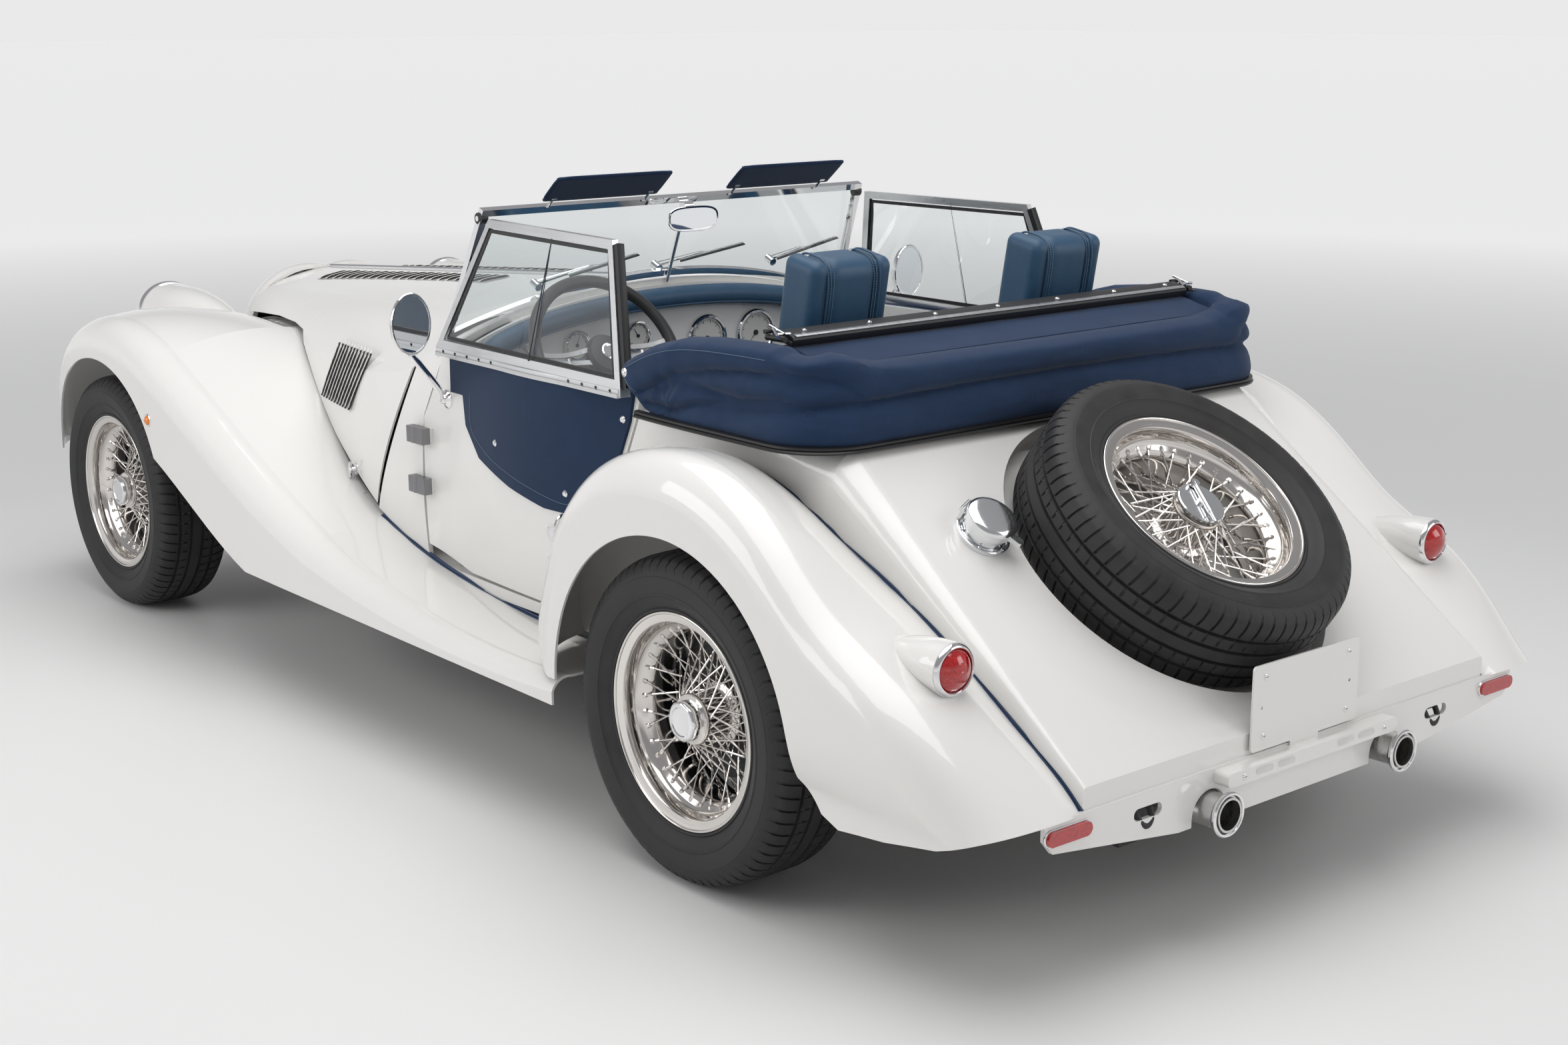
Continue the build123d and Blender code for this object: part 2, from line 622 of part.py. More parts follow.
# ---------------------------------------------------------------- steering wheel
wheel_centre, wheel_tilt, wheel_r = (310.0, 196.0, 842.0), 33.0, 178.0
column = Vector(0, cos(radians(wheel_tilt)), sin(radians(wheel_tilt)))
steer_plane = Plane(origin=wheel_centre, x_dir=(1, 0, 0), z_dir=column)
with BuildPart() as steering_wheel:
    with BuildSketch(Plane(origin=steer_plane.origin + Vector(wheel_r, 0, 0), x_dir=(1, 0, 0), z_dir=steer_plane.y_dir)):
        Circle(13)
    revolve(axis=Axis(steer_plane.origin, steer_plane.z_dir))
    with BuildSketch(steer_plane.offset(-30)):
        Circle(44)
    extrude(amount=36)
    with BuildSketch(steer_plane.offset(-12)):
        for angle in (0, 180, 270):
            with Locations(Location((0, 0, 0), angle) * Location((104, 0, 0))):
                Rectangle(132, 34)
    extrude(amount=6)
    with BuildSketch(steer_plane.offset(-30)):
        Circle(17)
    extrude(amount=-60)
save(steering_wheel, "steering_wheel")

with BuildPart() as steering_column:
    with BuildSketch(steer_plane.offset(-90.2)):
        Circle(25)
    extrude(amount=-330)
    with BuildSketch(Plane.XZ.offset(338)):
        with Locations((310, 600)):
            Rectangle(2000, 2000)
    extrude(amount=400, mode=Mode.SUBTRACT)
save(steering_column, "steering_column")

# ---------------------------------------------------------------- dashboard and padded roll
with BuildPart() as dashboard:
    # top rail that follows the underside of the scuttle's rear lip
    with BuildSketch(cross(-44)):
        with BuildLine():
            ThreePointArc((-420, 862), (0, 915), (420, 862))
            Polyline((420, 862), (420, 1000), (-420, 1000), (-420, 862))
        make_face()
    extrude(amount=-34)
    with BuildSketch(cross(-10)):
        with BuildLine():
            ThreePointArc((548, 685), (0, 650), (-548, 685))
            Polyline((-548, 685), (-552, 790), (-552, 990), (552, 990), (552, 790), (548, 685))
        make_face()
    extrude(amount=-16)
    add(scuttle_room.part, mode=Mode.INTERSECT)
    add(steering_column.part, mode=Mode.SUBTRACT)
save(dashboard, "dashboard")

# the roll keeps a constant depth under the scuttle's rear lip
lip_row = (6.3, 592, 323, 611, 600, 586, 860, 389, 923, 966)
with BuildPart() as dash_pad:
    add(scuttle_face(lip_row, 18.0))
    extrude(amount=46, dir=(0, 1, 0))
    add(scuttle_face(lip_row, 66.0))
    extrude(amount=46, dir=(0, 1, 0), mode=Mode.SUBTRACT)
    with BuildSketch(cross(0)):
        with Locations((0, 860)):
            Rectangle(2 * 543, 236)
    extrude(amount=-60, mode=Mode.INTERSECT)
    fillet(dash_pad.edges().filter_by(GeomType.CIRCLE).group_by(Axis.Y)[-1], 16)
save(dash_pad, "dash_pad")

# ---------------------------------------------------------------- seats
seat_x = 300.0
with BuildPart() as seats:
    with BuildSketch(side_view(112)):
        with BuildLine():
            Polyline((330, 248.3), (330, 400), (350, 436), (820, 396), (945, 902), (995, 916), (1034, 896), (928, 488),
                     (924, 248.3), (330, 248.3))
        make_face()
    extrude(amount=414)
    fillet(seats.edges().filter_by(Axis.X), 14)
    # headrest on its two posts
    with BuildSketch(side_view(seat_x - 100)):
        with Locations(Location((944, 1036), -10)):
            RectangleRounded(104, 186, 24)
    extrude(amount=200)
    with BuildSketch(side_view(seat_x - 60)):
        with Locations(Location((976, 920), -10)):
            Rectangle(14, 90)
    extrude(amount=120)
    mirror(about=Plane.YZ)
save(seats, "seats")

# ---------------------------------------------------------------- folded soft top and its header rail
hood_base = 822.3
with BuildPart() as soft_top:
    # two rolls of folded cloth round the cockpit's edge; section: outwards, height
    hood_path = (602, 1240)          # side x and rear y of the roll's core
    with BuildLine():
        route = FilletPolyline((hood_path[0], 740), hood_path, (-hood_path[0], hood_path[1]),
                               (-hood_path[0], 740), radius=84)
    with BuildSketch(Plane(origin=(hood_path[0], 740, 0), x_dir=(1, 0, 0), z_dir=(0, 1, 0))):
        with BuildLine():
            Line((-44, -hood_base), (22, -hood_base))
            ThreePointArc((22, -hood_base), (46, -860), (24, -904))
            ThreePointArc((24, -904), (34, -950), (2, -990))
            Line((2, -990), (-44, -990))
            Line((-44, -990), (-44, -hood_base))
        make_face()
    sweep(path=route)
    # flat stack between the rolls and the header rail
    with BuildSketch(Plane.XY.offset(hood_base)):
        with Locations((0, 1136)):
            Rectangle(1110, 140)
    extrude(amount=166)
    # tapering front ends, and the tips that hang behind the sidescreens
    with BuildSketch(side_view()):
        with BuildLine():
            Polyline((700, 884), (740, 868), (752, hood_base), (1310, hood_base), (1310, 990), (930, 990), (850, 972),
                     (790, 944), (735, 925), (700, 908), (700, 884))
        make_face()
    extrude(amount=1800, mode=Mode.INTERSECT)
    with BuildSketch(side_view(626)):
        with BuildLine():
            Polyline((700, 884), (740, 868), (800, 858), (800, 946), (735, 925), (700, 908), (700, 884))
        make_face()
    tips = extrude(amount=26)
    mirror(tips, about=Plane.YZ)
save(soft_top, "soft_top")

with BuildPart() as hood_rail:
    with BuildSketch(Plane.YZ.offset(-546)):
        with Locations(Location((1090, 1002), -15)):
            Rectangle(46, 20)
    extrude(amount=1092)
    add(soft_top.part, mode=Mode.SUBTRACT)
save(hood_rail, "hood_rail")

# ---------------------------------------------------------------- doors: y and z of the shut line
door_front_y = -113.0
door_outline = [(door_front_y, 396), (60, 360), (480, 358)] + [(y, z) for y, z in door_rear_edge[1:]] + [
    (-30, 862), (door_front_y, 692), (door_front_y, 396)]
with BuildPart() as door_form:
    with BuildSketch(side_view(400)):
        with BuildLine():
            Polyline([(y - 1, z) for y, z in door_outline])
        make_face()
    extrude(amount=400)
with BuildPart() as door_left:
    add(tub_form.part)
    loft([tub_face(row, t=34.0, drop=20.0, rise=120.0) for row in tub_rows], mode=Mode.SUBTRACT)
    add(door_form.part, mode=Mode.INTERSECT)
    # strap plates of the two hinges, and the leaves and upper knuckles on the pins
    with BuildSketch(side_view(560)):
        with Locations(*[(-98, z) for z in door_hinge_heights]):
            Rectangle(26, 2 * knuckle_length)
    extrude(amount=58)
    for z in door_hinge_heights:
        with BuildSketch(Plane.XY.offset(z + 0.2)):
            with Locations((door_hinge_x, door_hinge_y)):
                Circle(knuckle_radius)
            with Locations((door_hinge_x - 1.5, door_hinge_y + 20)):
                Rectangle(13, 40)
        extrude(amount=knuckle_length)
save(door_left, "door_left")
with BuildPart() as door_right:
    add(door_left.part)
    mirror(about=Plane.YZ, mode=Mode.REPLACE)
save(door_right, "door_right")

# Sidescreen: a frame that leans inwards and twists a little, standing on the door's outer edge.
# height, front x y, rear x y
sash_rows = [(864.0, 620, -5, 630, 700), (1144.0, 541, 100, 580, 612)]
sash_bar = 17.0


def sash_leaf(half):
    with BuildPart() as leaf:
        for z, fx, fy, rx, ry in sash_rows:
            with BuildSketch(Plane.XY.offset(z)):
                with BuildLine():
                    Polyline((fx - half, fy), (fx + half, fy), (rx + half, ry), (rx - half, ry), (fx - half, fy))
                make_face()
        loft(ruled=True)
    return leaf.part


def sash_opening():
    with BuildSketch(side_view(450)) as window:
        with BuildLine():
            (low, _, lfy, _, lry), (high, _, hfy, _, hry) = sash_rows
            Polyline((lfy, low), (lry, low), (hry, high), (hfy, high), (lfy, low))
        edge = make_face()
        offset(edge, amount=-sash_bar, mode=Mode.REPLACE)
    return window.sketch


# outside of the fabric-covered panel that laps over the door
panel_skin = 5.0
with BuildPart() as panel_form:
    loft([tub_face(row, t=-panel_skin, drop=20.0, rise=120.0) for row in tub_rows])
sill_depth, sash_half = 16.0, 7.0
with BuildPart() as sidescreen_frame_left:
    # sill rail seated on the outside of the panel
    sash_foot, front_x, front_y, rear_x, rear_y = sash_rows[0]
    with BuildSketch(Plane.XY.offset(sash_foot - sill_depth)):
        with BuildLine():
            Polyline((front_x - 60, front_y), (front_x + sash_half, front_y), (rear_x + sash_half, rear_y),
                     (rear_x - 60, rear_y), (front_x - 60, front_y))
        make_face()
    extrude(amount=sill_depth)
    add(panel_form.part, mode=Mode.SUBTRACT)
    add(sash_leaf(sash_half))
    add(sash_opening())
    extrude(amount=300, dir=(1, 0, 0), mode=Mode.SUBTRACT)
save(sidescreen_frame_left, "sidescreen_frame_left")
# two panes that meet on the split line of the sliding window
with BuildPart() as sidescreen_glass_left:
    add(sash_leaf(2))
    add(sash_opening())
    extrude(amount=300, dir=(1, 0, 0), mode=Mode.INTERSECT)
    with BuildSketch(side_view(450)):
        with Locations((372, 1000)):
            Rectangle(1, 400)
    extrude(amount=300, mode=Mode.SUBTRACT)
save(sidescreen_glass_left, "sidescreen_glass_left")
# fabric-covered panel that laps over the outside of the door
with BuildPart() as sidescreen_panel_left:
    add(panel_form.part)
    add(tub_form.part, mode=Mode.SUBTRACT)
    with BuildSketch(side_view(400)):
        with BuildLine():
            Polyline((2, 862), (2, 762), (66, 764), (78, 700), (150, 640), (300, 604), (430, 582), (520, 582), (568, 580),
                     (600, 618), (642, 672), (692, 796), (706, 862), (2, 862))
        make_face()
    extrude(amount=400, mode=Mode.INTERSECT)
    with BuildSketch(Plane.XY.offset(500)):
        with Locations((640, 300)):
            Rectangle(100, 1000)
    extrude(amount=400, mode=Mode.INTERSECT)
save(sidescreen_panel_left, "sidescreen_panel_left")

mirror_head = Vector(724, 60, 930)
mirror_foot = Vector(606, -14, 744)
with BuildPart() as door_mirror_left:
    with BuildSketch(Plane(origin=mirror_head, x_dir=(1, 0, 0), z_dir=(0, 1, 0))):
        Ellipse(46, 64)
    extrude(amount=-26)
    fillet(door_mirror_left.edges().group_by(Axis.Y)[0], 16)
    stem = mirror_head - Vector(0, 13, 34) - mirror_foot
    with BuildSketch(Plane(origin=mirror_foot, x_dir=(0, 1, 0), z_dir=stem)):
        Circle(6)
    extrude(amount=stem.length)
    with BuildSketch(side_view(575)):
        with Locations((-30, 742)):
            RectangleRounded(60, 34, 12)
    extrude(amount=44)
    with BuildSketch(side_view(612)):
        with Locations((486, 532)):
            RectangleRounded(96, 32, 14)
    extrude(amount=26)
    add(tub_form.part, mode=Mode.SUBTRACT)
save(door_mirror_left, "door_mirror_left")
for name, source in (("sidescreen_frame_right", sidescreen_frame_left), ("sidescreen_glass_right", sidescreen_glass_left),
                     ("sidescreen_panel_right", sidescreen_panel_left), ("door_mirror_right", door_mirror_left)):
    with BuildPart() as right_hand:
        add(source.part)
        mirror(about=Plane.YZ, mode=Mode.REPLACE)
    save(right_hand, name)

# ---------------------------------------------------------------- wire wheel, axis along X, outboard +X
spoke_pairs = 12
rim_profile = [(82, 207.5), (73, 207.5), (71, 190), (26, 166), (-26, 166), (-71, 190), (-73, 207.5), (-82, 207.5),
               (-82, 200), (-74, 184), (-28, 159), (28, 159), (74, 184), (82, 200), (82, 207.5)]
hub_profile = [(-20, 12), (-20, 58), (-10, 58), (-6, 44), (44, 38), (48, 48), (58, 48), (62, 33), (68, 33), (68, 12),
               (-20, 12)]
with BuildPart() as rim_and_hub:
    with BuildSketch(Plane.XY):
        with BuildLine():
            Polyline(rim_profile)
        make_face()
        with BuildLine():
            Polyline(hub_profile)
        make_face()
    revolve(axis=Axis.X)
    with BuildSketch(Plane.YZ.offset(-20)):
        Circle(14)
    extrude(amount=86)
    with BuildSketch(Plane.YZ.offset(64)):
        RegularPolygon(37, 8)
    extrude(amount=20)

# x and radius at the hub, x and radius at the rim, turn between the two ends
spoke_rows = [(-15, 52, 34, 167, 40), (-15, 52, 34, 167, -40), (53, 42, -22, 163, 54), (53, 42, -22, 163, -54)]
with BuildPart() as spoke_set:
    for hx, hr, rx, rr, turn in spoke_rows:
        start = Vector(hx, hr, 0)
        end = Vector(rx, rr * cos(radians(turn)), rr * sin(radians(turn)))
        with BuildSketch(Plane(origin=start, z_dir=end - start)):
            Rectangle(4, 4)
        extrude(amount=(end - start).length)
with BuildPart() as wire_wheel:
    add(rim_and_hub.part)
    add([spoke.rotate(Axis.X, 360 / spoke_pairs * i) for i in range(spoke_pairs) for spoke in spoke_set.part.solids()])

tyre_profile = [(71, 190.2), (73, 208), (102.5, 262), (92, 298), (72, tyre_radius)]
with BuildPart() as tyre:
    with BuildSketch(Plane.XY):
        with BuildLine():
            Polyline(tyre_profile + [(-x, r) for x, r in tyre_profile[::-1]] + tyre_profile[:1])
        make_face()
    revolve(axis=Axis.X)

wheel_places = {
    "front_left": Location((front_wheel_x, front_axle_y, tyre_radius)),
    "front_right": Location((-front_wheel_x, front_axle_y, tyre_radius), (0, 0, 180)),
    "rear_left": Location((rear_wheel_x, rear_axle_y, tyre_radius)),
    "rear_right": Location((-rear_wheel_x, rear_axle_y, tyre_radius), (0, 0, 180)),
}
for corner, place in wheel_places.items():
    with BuildPart() as placed_wheel:
        with Locations(place):
            add(wire_wheel.part)
    save(placed_wheel, f"wheel_{corner}")
    with BuildPart() as placed_tyre:
        with Locations(place):
            add(tyre.part)
    save(placed_tyre, f"tyre_{corner}")

# Spare: outboard side outwards, its lower wall flat on the recess floor
spare_place = (deck_plane.offset(tyre_width / 2 - recess_depth)).location * Location((0, 0, 0), (0, -90, 0))
with BuildPart() as spare_wheel:
    with Locations(spare_place):
        add(wire_wheel.part)
save(spare_wheel, "spare_wheel")
with BuildPart() as spare_tyre:
    with Locations(spare_place):
        add(tyre.part)
save(spare_tyre, "spare_tyre")
with BuildPart() as spare_mount:
    with BuildSketch(deck_plane.offset(-recess_depth)):
        Circle(52)
    extrude(amount=tyre_width / 2 - 20.1)
save(spare_mount, "spare_mount")

# ---------------------------------------------------------------- axles and steering knuckles
hub_face = 20.2
with BuildPart() as front_axle:
    with BuildSketch(Plane.YZ.offset(-kingpin_x)):
        with Locations((front_axle_y, 212), (front_axle_y, 430)):
            Circle(17)
    extrude(amount=2 * kingpin_x)
    with BuildSketch(Plane.XY.offset(200)):
        with Locations((kingpin_x, front_axle_y), (-kingpin_x, front_axle_y)):
            Circle(13)
    extrude(amount=245)
    with BuildSketch(Plane.XY.offset(200)):
        with Locations((rail_x, front_axle_y), (-rail_x, front_axle_y)):
            Rectangle(30, 46)
    extrude(amount=245)
    add(chassis.part, mode=Mode.SUBTRACT)
save(front_axle, "front_axle")
with BuildPart() as knuckle_left:
    with BuildSketch(Plane.XY.offset(234)):
        with Locations((kingpin_x, front_axle_y)):
            Circle(27)
    extrude(amount=174)
    with BuildSketch(Plane.YZ.offset(kingpin_x)):
        with Locations((front_axle_y, tyre_radius)):
            Circle(24)
    extrude(amount=front_wheel_x - hub_face - kingpin_x)
    with BuildSketch(Plane.YZ.offset(front_wheel_x - hub_face - 14)):
        with Locations((front_axle_y, tyre_radius)):
            Circle(132)
    extrude(amount=12)
    # steering arm
    with BuildSketch(Plane.XY.offset(240)):
        with Locations((kingpin_x - 8, front_axle_y + 80)):
            Rectangle(22, 130)
    extrude(amount=16)
    with BuildSketch(Plane.XY.offset(220)):
        with Locations((kingpin_x, front_axle_y)):
            Circle(13.06)
    extrude(amount=200, mode=Mode.SUBTRACT)
save(knuckle_left, "knuckle_left")
with BuildPart() as knuckle_right:
    add(knuckle_left.part)
    mirror(about=Plane.YZ, mode=Mode.REPLACE)
save(knuckle_right, "knuckle_right")

with BuildPart() as rear_axle:
    with BuildSketch(Plane.YZ.offset(-rear_wheel_x + hub_face)):
        with Locations((rear_axle_y, tyre_radius)):
            Circle(37)
    extrude(amount=2 * (rear_wheel_x - hub_face))
    with Locations((0, rear_axle_y, tyre_radius)):
        Sphere(112)
    for x in (rear_wheel_x - hub_face - 44, -rear_wheel_x + hub_face):
        with BuildSketch(Plane.YZ.offset(x)):
            with Locations((rear_axle_y, tyre_radius)):
                Circle(126)
        extrude(amount=44)
    # leaf springs outside the frame rails, hung from brackets
    for x in (395, -445):
        with BuildSketch(side_view(x)):
            with BuildLine():
                ThreePointArc((600, 226), (1070, 212), (1540, 226))
                Line((1540, 226), (1540, 212))
                ThreePointArc((1540, 212), (1070, 190), (600, 212))
                Line((600, 212), (600, 226))
            make_face()
        extrude(amount=50)
    for y in (640, 1500):
        with BuildSketch(Plane.XY.offset(196)):
            with Locations((rail_x + 50, y), (-rail_x - 50, y)):
                Rectangle(58, 36)
        extrude(amount=34)
    for x in (420, -420):
        with BuildSketch(Plane.XY.offset(205)):
            with Locations((x, rear_axle_y)):
                Rectangle(50, 60)
        extrude(amount=85)
    add(chassis.part, mode=Mode.SUBTRACT)
save(rear_axle, "rear_axle")

# ---------------------------------------------------------------- tail: lamps, filler, valance, exhaust
with BuildPart() as tail_lamp_left:
    with BuildSketch(Plane.XY.offset(535)):
        with BuildLine():
            Line((671, 1460), (671, 1668))
            Line((671, 1668), (718, 1668))
            Line((718, 1668), (717, 1650))
            ThreePointArc((717, 1650), (706, 1560), (671, 1460))
        make_face()
    revolve(axis=Axis((671, 0, 535), (0, 1, 0)))
    add(rear_wing_left.part, mode=Mode.SUBTRACT)
with BuildPart() as tail_lamps:
    add(tail_lamp_left.part.solids().sort_by(Axis.Y)[-1])
    mirror(about=Plane.YZ)
save(tail_lamps, "tail_lamps")
with BuildPart() as rear_lenses:
    with BuildSketch(Plane.XY.offset(535)):
        with BuildLine():
            Line((671, 1668), (710, 1668))
            bulge = dome(39, 22)
            ThreePointArc((710, 1668), (671 + bulge[0], 1668 + bulge[1]), (671, 1690))
            Line((671, 1690), (671, 1668))
        make_face()
    revolve(axis=Axis((671, 0, 535), (0, 1, 0)))
    with BuildSketch(cross(1870)):
        with Locations((607, 296)):
            SlotOverall(104, 25)
    extrude(amount=-8)
    mirror(about=Plane.YZ)
save(rear_lenses, "rear_lenses")

filler_centre = Vector(391, 1448, 677)
filler_plane = Plane(origin=filler_centre, x_dir=(1, 0, 0), z_dir=deck_normal)
lid_radius, lid_base, lid_depth = 46.0, 27.2, 24.0
# hinge of the lid: distance from the centre, height above the panel, turn about the lid's axis
pin_distance, pin_height, pin_turn, pin_radius = 52.0, 29.5, -66.25, 5.0
pin_place = filler_plane * Location((0, 0, pin_height), pin_turn) * Location((pin_distance, 0, 0), (90, 0, 0))
with BuildPart() as filler_neck:
    with BuildSketch(filler_plane.offset(-1)):
        Circle(52)
        Circle(34, mode=Mode.SUBTRACT)
    extrude(amount=8)
    with BuildSketch(filler_plane.offset(7)):
        Circle(43)
        Circle(34, mode=Mode.SUBTRACT)
    extrude(amount=20)
    # outer knuckles of the lid's hinge on their bracket
    for side in (-12.3, 12.3):
        with BuildSketch(Plane(pin_place * Location((0, 0, side)))):
            Circle(pin_radius)
            with Locations((-3, -pin_height / 2 + 2)):
                Rectangle(6, pin_height - 4)
        extrude(amount=4, both=True)
    add(rear_body.part, mode=Mode.SUBTRACT)
save(filler_neck, "filler_neck")
with BuildPart() as filler_lid:
    with BuildSketch(filler_plane.offset(lid_base)):
        Circle(lid_radius)
    extrude(amount=lid_depth)
    fillet(filler_lid.edges().filter_by(GeomType.CIRCLE).sort_by(Axis(filler_centre, deck_normal))[-1], 8)
    # latch lever opposite the hinge
    with BuildSketch(filler_plane.offset(pin_height + 0.5)):
        with Locations(Location((-16, 37, 0), 114)):
            SlotOverall(60, 16)
    extrude(amount=10)
    # middle knuckle of the hinge
    with BuildSketch(Plane(pin_place)):
        Circle(pin_radius)
        with Locations((-8, 0)):
            Rectangle(16, 4)
    extrude(amount=8, both=True)
save(filler_lid, "filler_lid")

with BuildPart() as rear_valance:
    with BuildSketch(cross(1861)):
        with BuildLine():
            Polyline((-660, 322), (660, 322), (660, 292), (640, 268), (330, 226), (-330, 226), (-640, 268), (-660, 292),
                     (-660, 322))
        make_face()
        with Locations((251, 240), (-251, 240)):
            Circle(46, mode=Mode.SUBTRACT)
            with Locations((0, -40)):
                Rectangle(92, 80, mode=Mode.SUBTRACT)
        with Locations((411, 284), (-411, 284)):
            SlotOverall(70, 22, mode=Mode.SUBTRACT)
    extrude(amount=-9)
    add(rear_wings.part, mode=Mode.SUBTRACT)
save(rear_valance, "rear_valance")

with BuildPart() as plate_holder:
    with BuildSketch(cross(1870)):
        with Locations((0, 305)):
            RectangleRounded(484, 26, 8)
    extrude(amount=-32)
    with BuildSketch(cross(1870)):
        with Locations((0, 405)):
            RectangleRounded(300, 156, 8)
        with Locations((0, 325)):
            Rectangle(80, 30)
        with Locations((125, 405), (-125, 405)):
            Circle(3, mode=Mode.SUBTRACT)
    extrude(amount=-4)
save(plate_holder, "plate_holder")

exhaust_x, exhaust_z = 251.0, 251.0
silencer_y, silencer_z, silencer_depth, silencer_height = 1600.0, 262.0, 180.0, 124.0
with BuildPart() as exhaust:
    with BuildSketch(cross(half_length)):
        with Locations((exhaust_x, exhaust_z), (-exhaust_x, exhaust_z)):
            Circle(31)
    extrude(amount=half_length - silencer_y)
    with BuildSketch(cross(half_length)):
        with Locations((exhaust_x, exhaust_z), (-exhaust_x, exhaust_z)):
            Circle(27)
    extrude(amount=120, mode=Mode.SUBTRACT)
    with BuildSketch(Plane.YZ.offset(-296)):
        with Locations((silencer_y, silencer_z)):
            SlotOverall(silencer_depth, silencer_height)
    extrude(amount=592)
    with BuildSketch(cross(silencer_y + 40)):
        with Locations((0, silencer_z)):
            Rectangle(2 * rail_x - 46, 30)
    extrude(amount=60)
    add(chassis.part, mode=Mode.SUBTRACT)
save(exhaust, "exhaust")
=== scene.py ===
# %% [markdown]
# # An open two-seat roadster, finished in Blender
# The engineering model arrives as a fixed frame: every panel, wheel and bracket is at its real
# place, in metres, with +X to the car's left, +Y rearwards and +Z up. This lesson dresses it.
# Plain panels keep their shape and get a finish. Soft, spoked, moulded and curved pieces are
# modelled here again in finer detail, and each one rides on the body that it belongs to.

import math

import bmesh
import bpy
from mathutils import Matrix, Vector, noise
from mathutils.bvhtree import BVHTree


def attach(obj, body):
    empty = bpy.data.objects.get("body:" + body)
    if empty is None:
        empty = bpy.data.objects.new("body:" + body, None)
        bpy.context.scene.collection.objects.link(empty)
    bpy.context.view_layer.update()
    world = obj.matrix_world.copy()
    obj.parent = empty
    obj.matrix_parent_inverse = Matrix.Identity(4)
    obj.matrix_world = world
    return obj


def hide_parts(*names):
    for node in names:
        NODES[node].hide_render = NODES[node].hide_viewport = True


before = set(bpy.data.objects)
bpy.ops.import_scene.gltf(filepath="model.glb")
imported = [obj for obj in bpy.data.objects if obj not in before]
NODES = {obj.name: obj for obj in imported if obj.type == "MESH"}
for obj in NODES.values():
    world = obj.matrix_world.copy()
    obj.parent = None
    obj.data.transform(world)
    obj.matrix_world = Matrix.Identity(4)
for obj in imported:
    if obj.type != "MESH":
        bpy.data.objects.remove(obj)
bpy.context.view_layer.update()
MM, METRE = 0.001, 1000
SIDES = ((1, "left"), (-1, "right"))

# %% [markdown]
# ## Camera and light
# The viewer stands behind the car's left rear corner, a little above the soft top, with a
# normal lens. A wide soft light hangs above the car as in a studio, a second one fills
# from the left and a third from behind.

# %% Camera and lamps
CAMERA_PLACE = (3.0499, 4.0945, 1.5963)
CAMERA_TURN = (76.5, 0.1, 140.2)
LENS = 49.81


def put(name, data, place, turn):
    """An object for a camera or a lamp."""
    made = bpy.data.objects.new(name, data)
    made.location, made.rotation_euler = place, turn
    bpy.context.scene.collection.objects.link(made)
    return made


def area_lamp(name, place, target, size, power):
    data = bpy.data.lights.new(name, "AREA")
    data.shape, data.size, data.size_y, data.energy = "RECTANGLE", *size, power
    put(name, data, place, (Vector(target) - Vector(place)).to_track_quat("-Z", "Y").to_euler())


lens = bpy.data.cameras.new("camera")
lens.lens, lens.sensor_width = LENS, 36.0
turn = [math.radians(angle) for angle in CAMERA_TURN]
bpy.context.scene.camera = put("camera", lens, CAMERA_PLACE, turn)
bpy.context.scene.view_settings.view_transform = "Standard"
area_lamp("overhead softbox", (0.4, 0.6, 4.2), (0, 0, 0), (3.6, 5.6), 150)
area_lamp("left softbox", (4.6, -1.4, 2.4), (0, 0, 0.5), (3.4, 2.2), 60)
area_lamp("rear softbox", (-2.6, 4.8, 2.6), (0, 0.4, 0.4), (2.4, 2.0), 40)
print("camera looks from", CAMERA_PLACE)

# %% [markdown]
# ## Writing materials as sums
# A material is a graph, and long graphs are easier to read as arithmetic. `Knob` wraps one
# output socket: adding or multiplying knobs adds the Math nodes. `Graph` has a single method
# for every other node, and `Finish` is the graph of one material.

# %% Knobs, graphs and finishes


class Knob:
    """An output socket that can be used in arithmetic."""

    def __init__(self, graph, socket):
        self.graph, self.socket = graph, socket

    def math(self, operation, first, second=0.0):
        node = self.graph.node("ShaderNodeMath", {"operation": operation}, [first, second])
        return Knob(self.graph, node.outputs[0])

    def __add__(self, other): return self.math("ADD", self, other)
    def __radd__(self, other): return self.math("ADD", other, self)
    def __sub__(self, other): return self.math("SUBTRACT", self, other)
    def __rsub__(self, other): return self.math("SUBTRACT", other, self)
    def __mul__(self, other): return self.math("MULTIPLY", self, other)
    def __rmul__(self, other): return self.math("MULTIPLY", other, self)
    def __truediv__(self, other): return self.math("DIVIDE", self, other)
    def __pow__(self, other): return self.math("POWER", self, other)
    def __lt__(self, other): return self.math("LESS_THAN", self, other)
    def sine(self): return self.math("SINE", self)
    def at_most(self, other): return self.math("MINIMUM", self, other)
    def at_least(self, other): return self.math("MAXIMUM", self, other)


class Graph:
    """The nodes of a material or a world."""

    def __init__(self, owner):
        owner.use_nodes = True
        self.tree = owner.node_tree
        self.tree.nodes.clear()

    def connect(self, socket, value):
        if isinstance(value, (Knob, bpy.types.NodeSocket)):
            self.tree.links.new(getattr(value, "socket", value), socket)
        elif isinstance(value, tuple) and socket.type == "RGBA" and len(value) == 3:
            socket.default_value = (*value, 1)
        else:
            socket.default_value = value

    def node(self, kind, settings=None, values=()):
        node = self.tree.nodes.new(kind)
        for key, value in (settings or {}).items():
            if key == "stops":
                ramp = node.color_ramp.elements
                while len(ramp) < len(value):
                    ramp.new(0.5)
                for element, (place, colour) in zip(ramp, value):
                    element.position, element.color = place, (*colour, 1)
            else:
                setattr(node, key, value)
        pairs = values.items() if isinstance(values, dict) else enumerate(values)
        for key, value in pairs:
            self.connect(node.inputs[key], value)
        return node


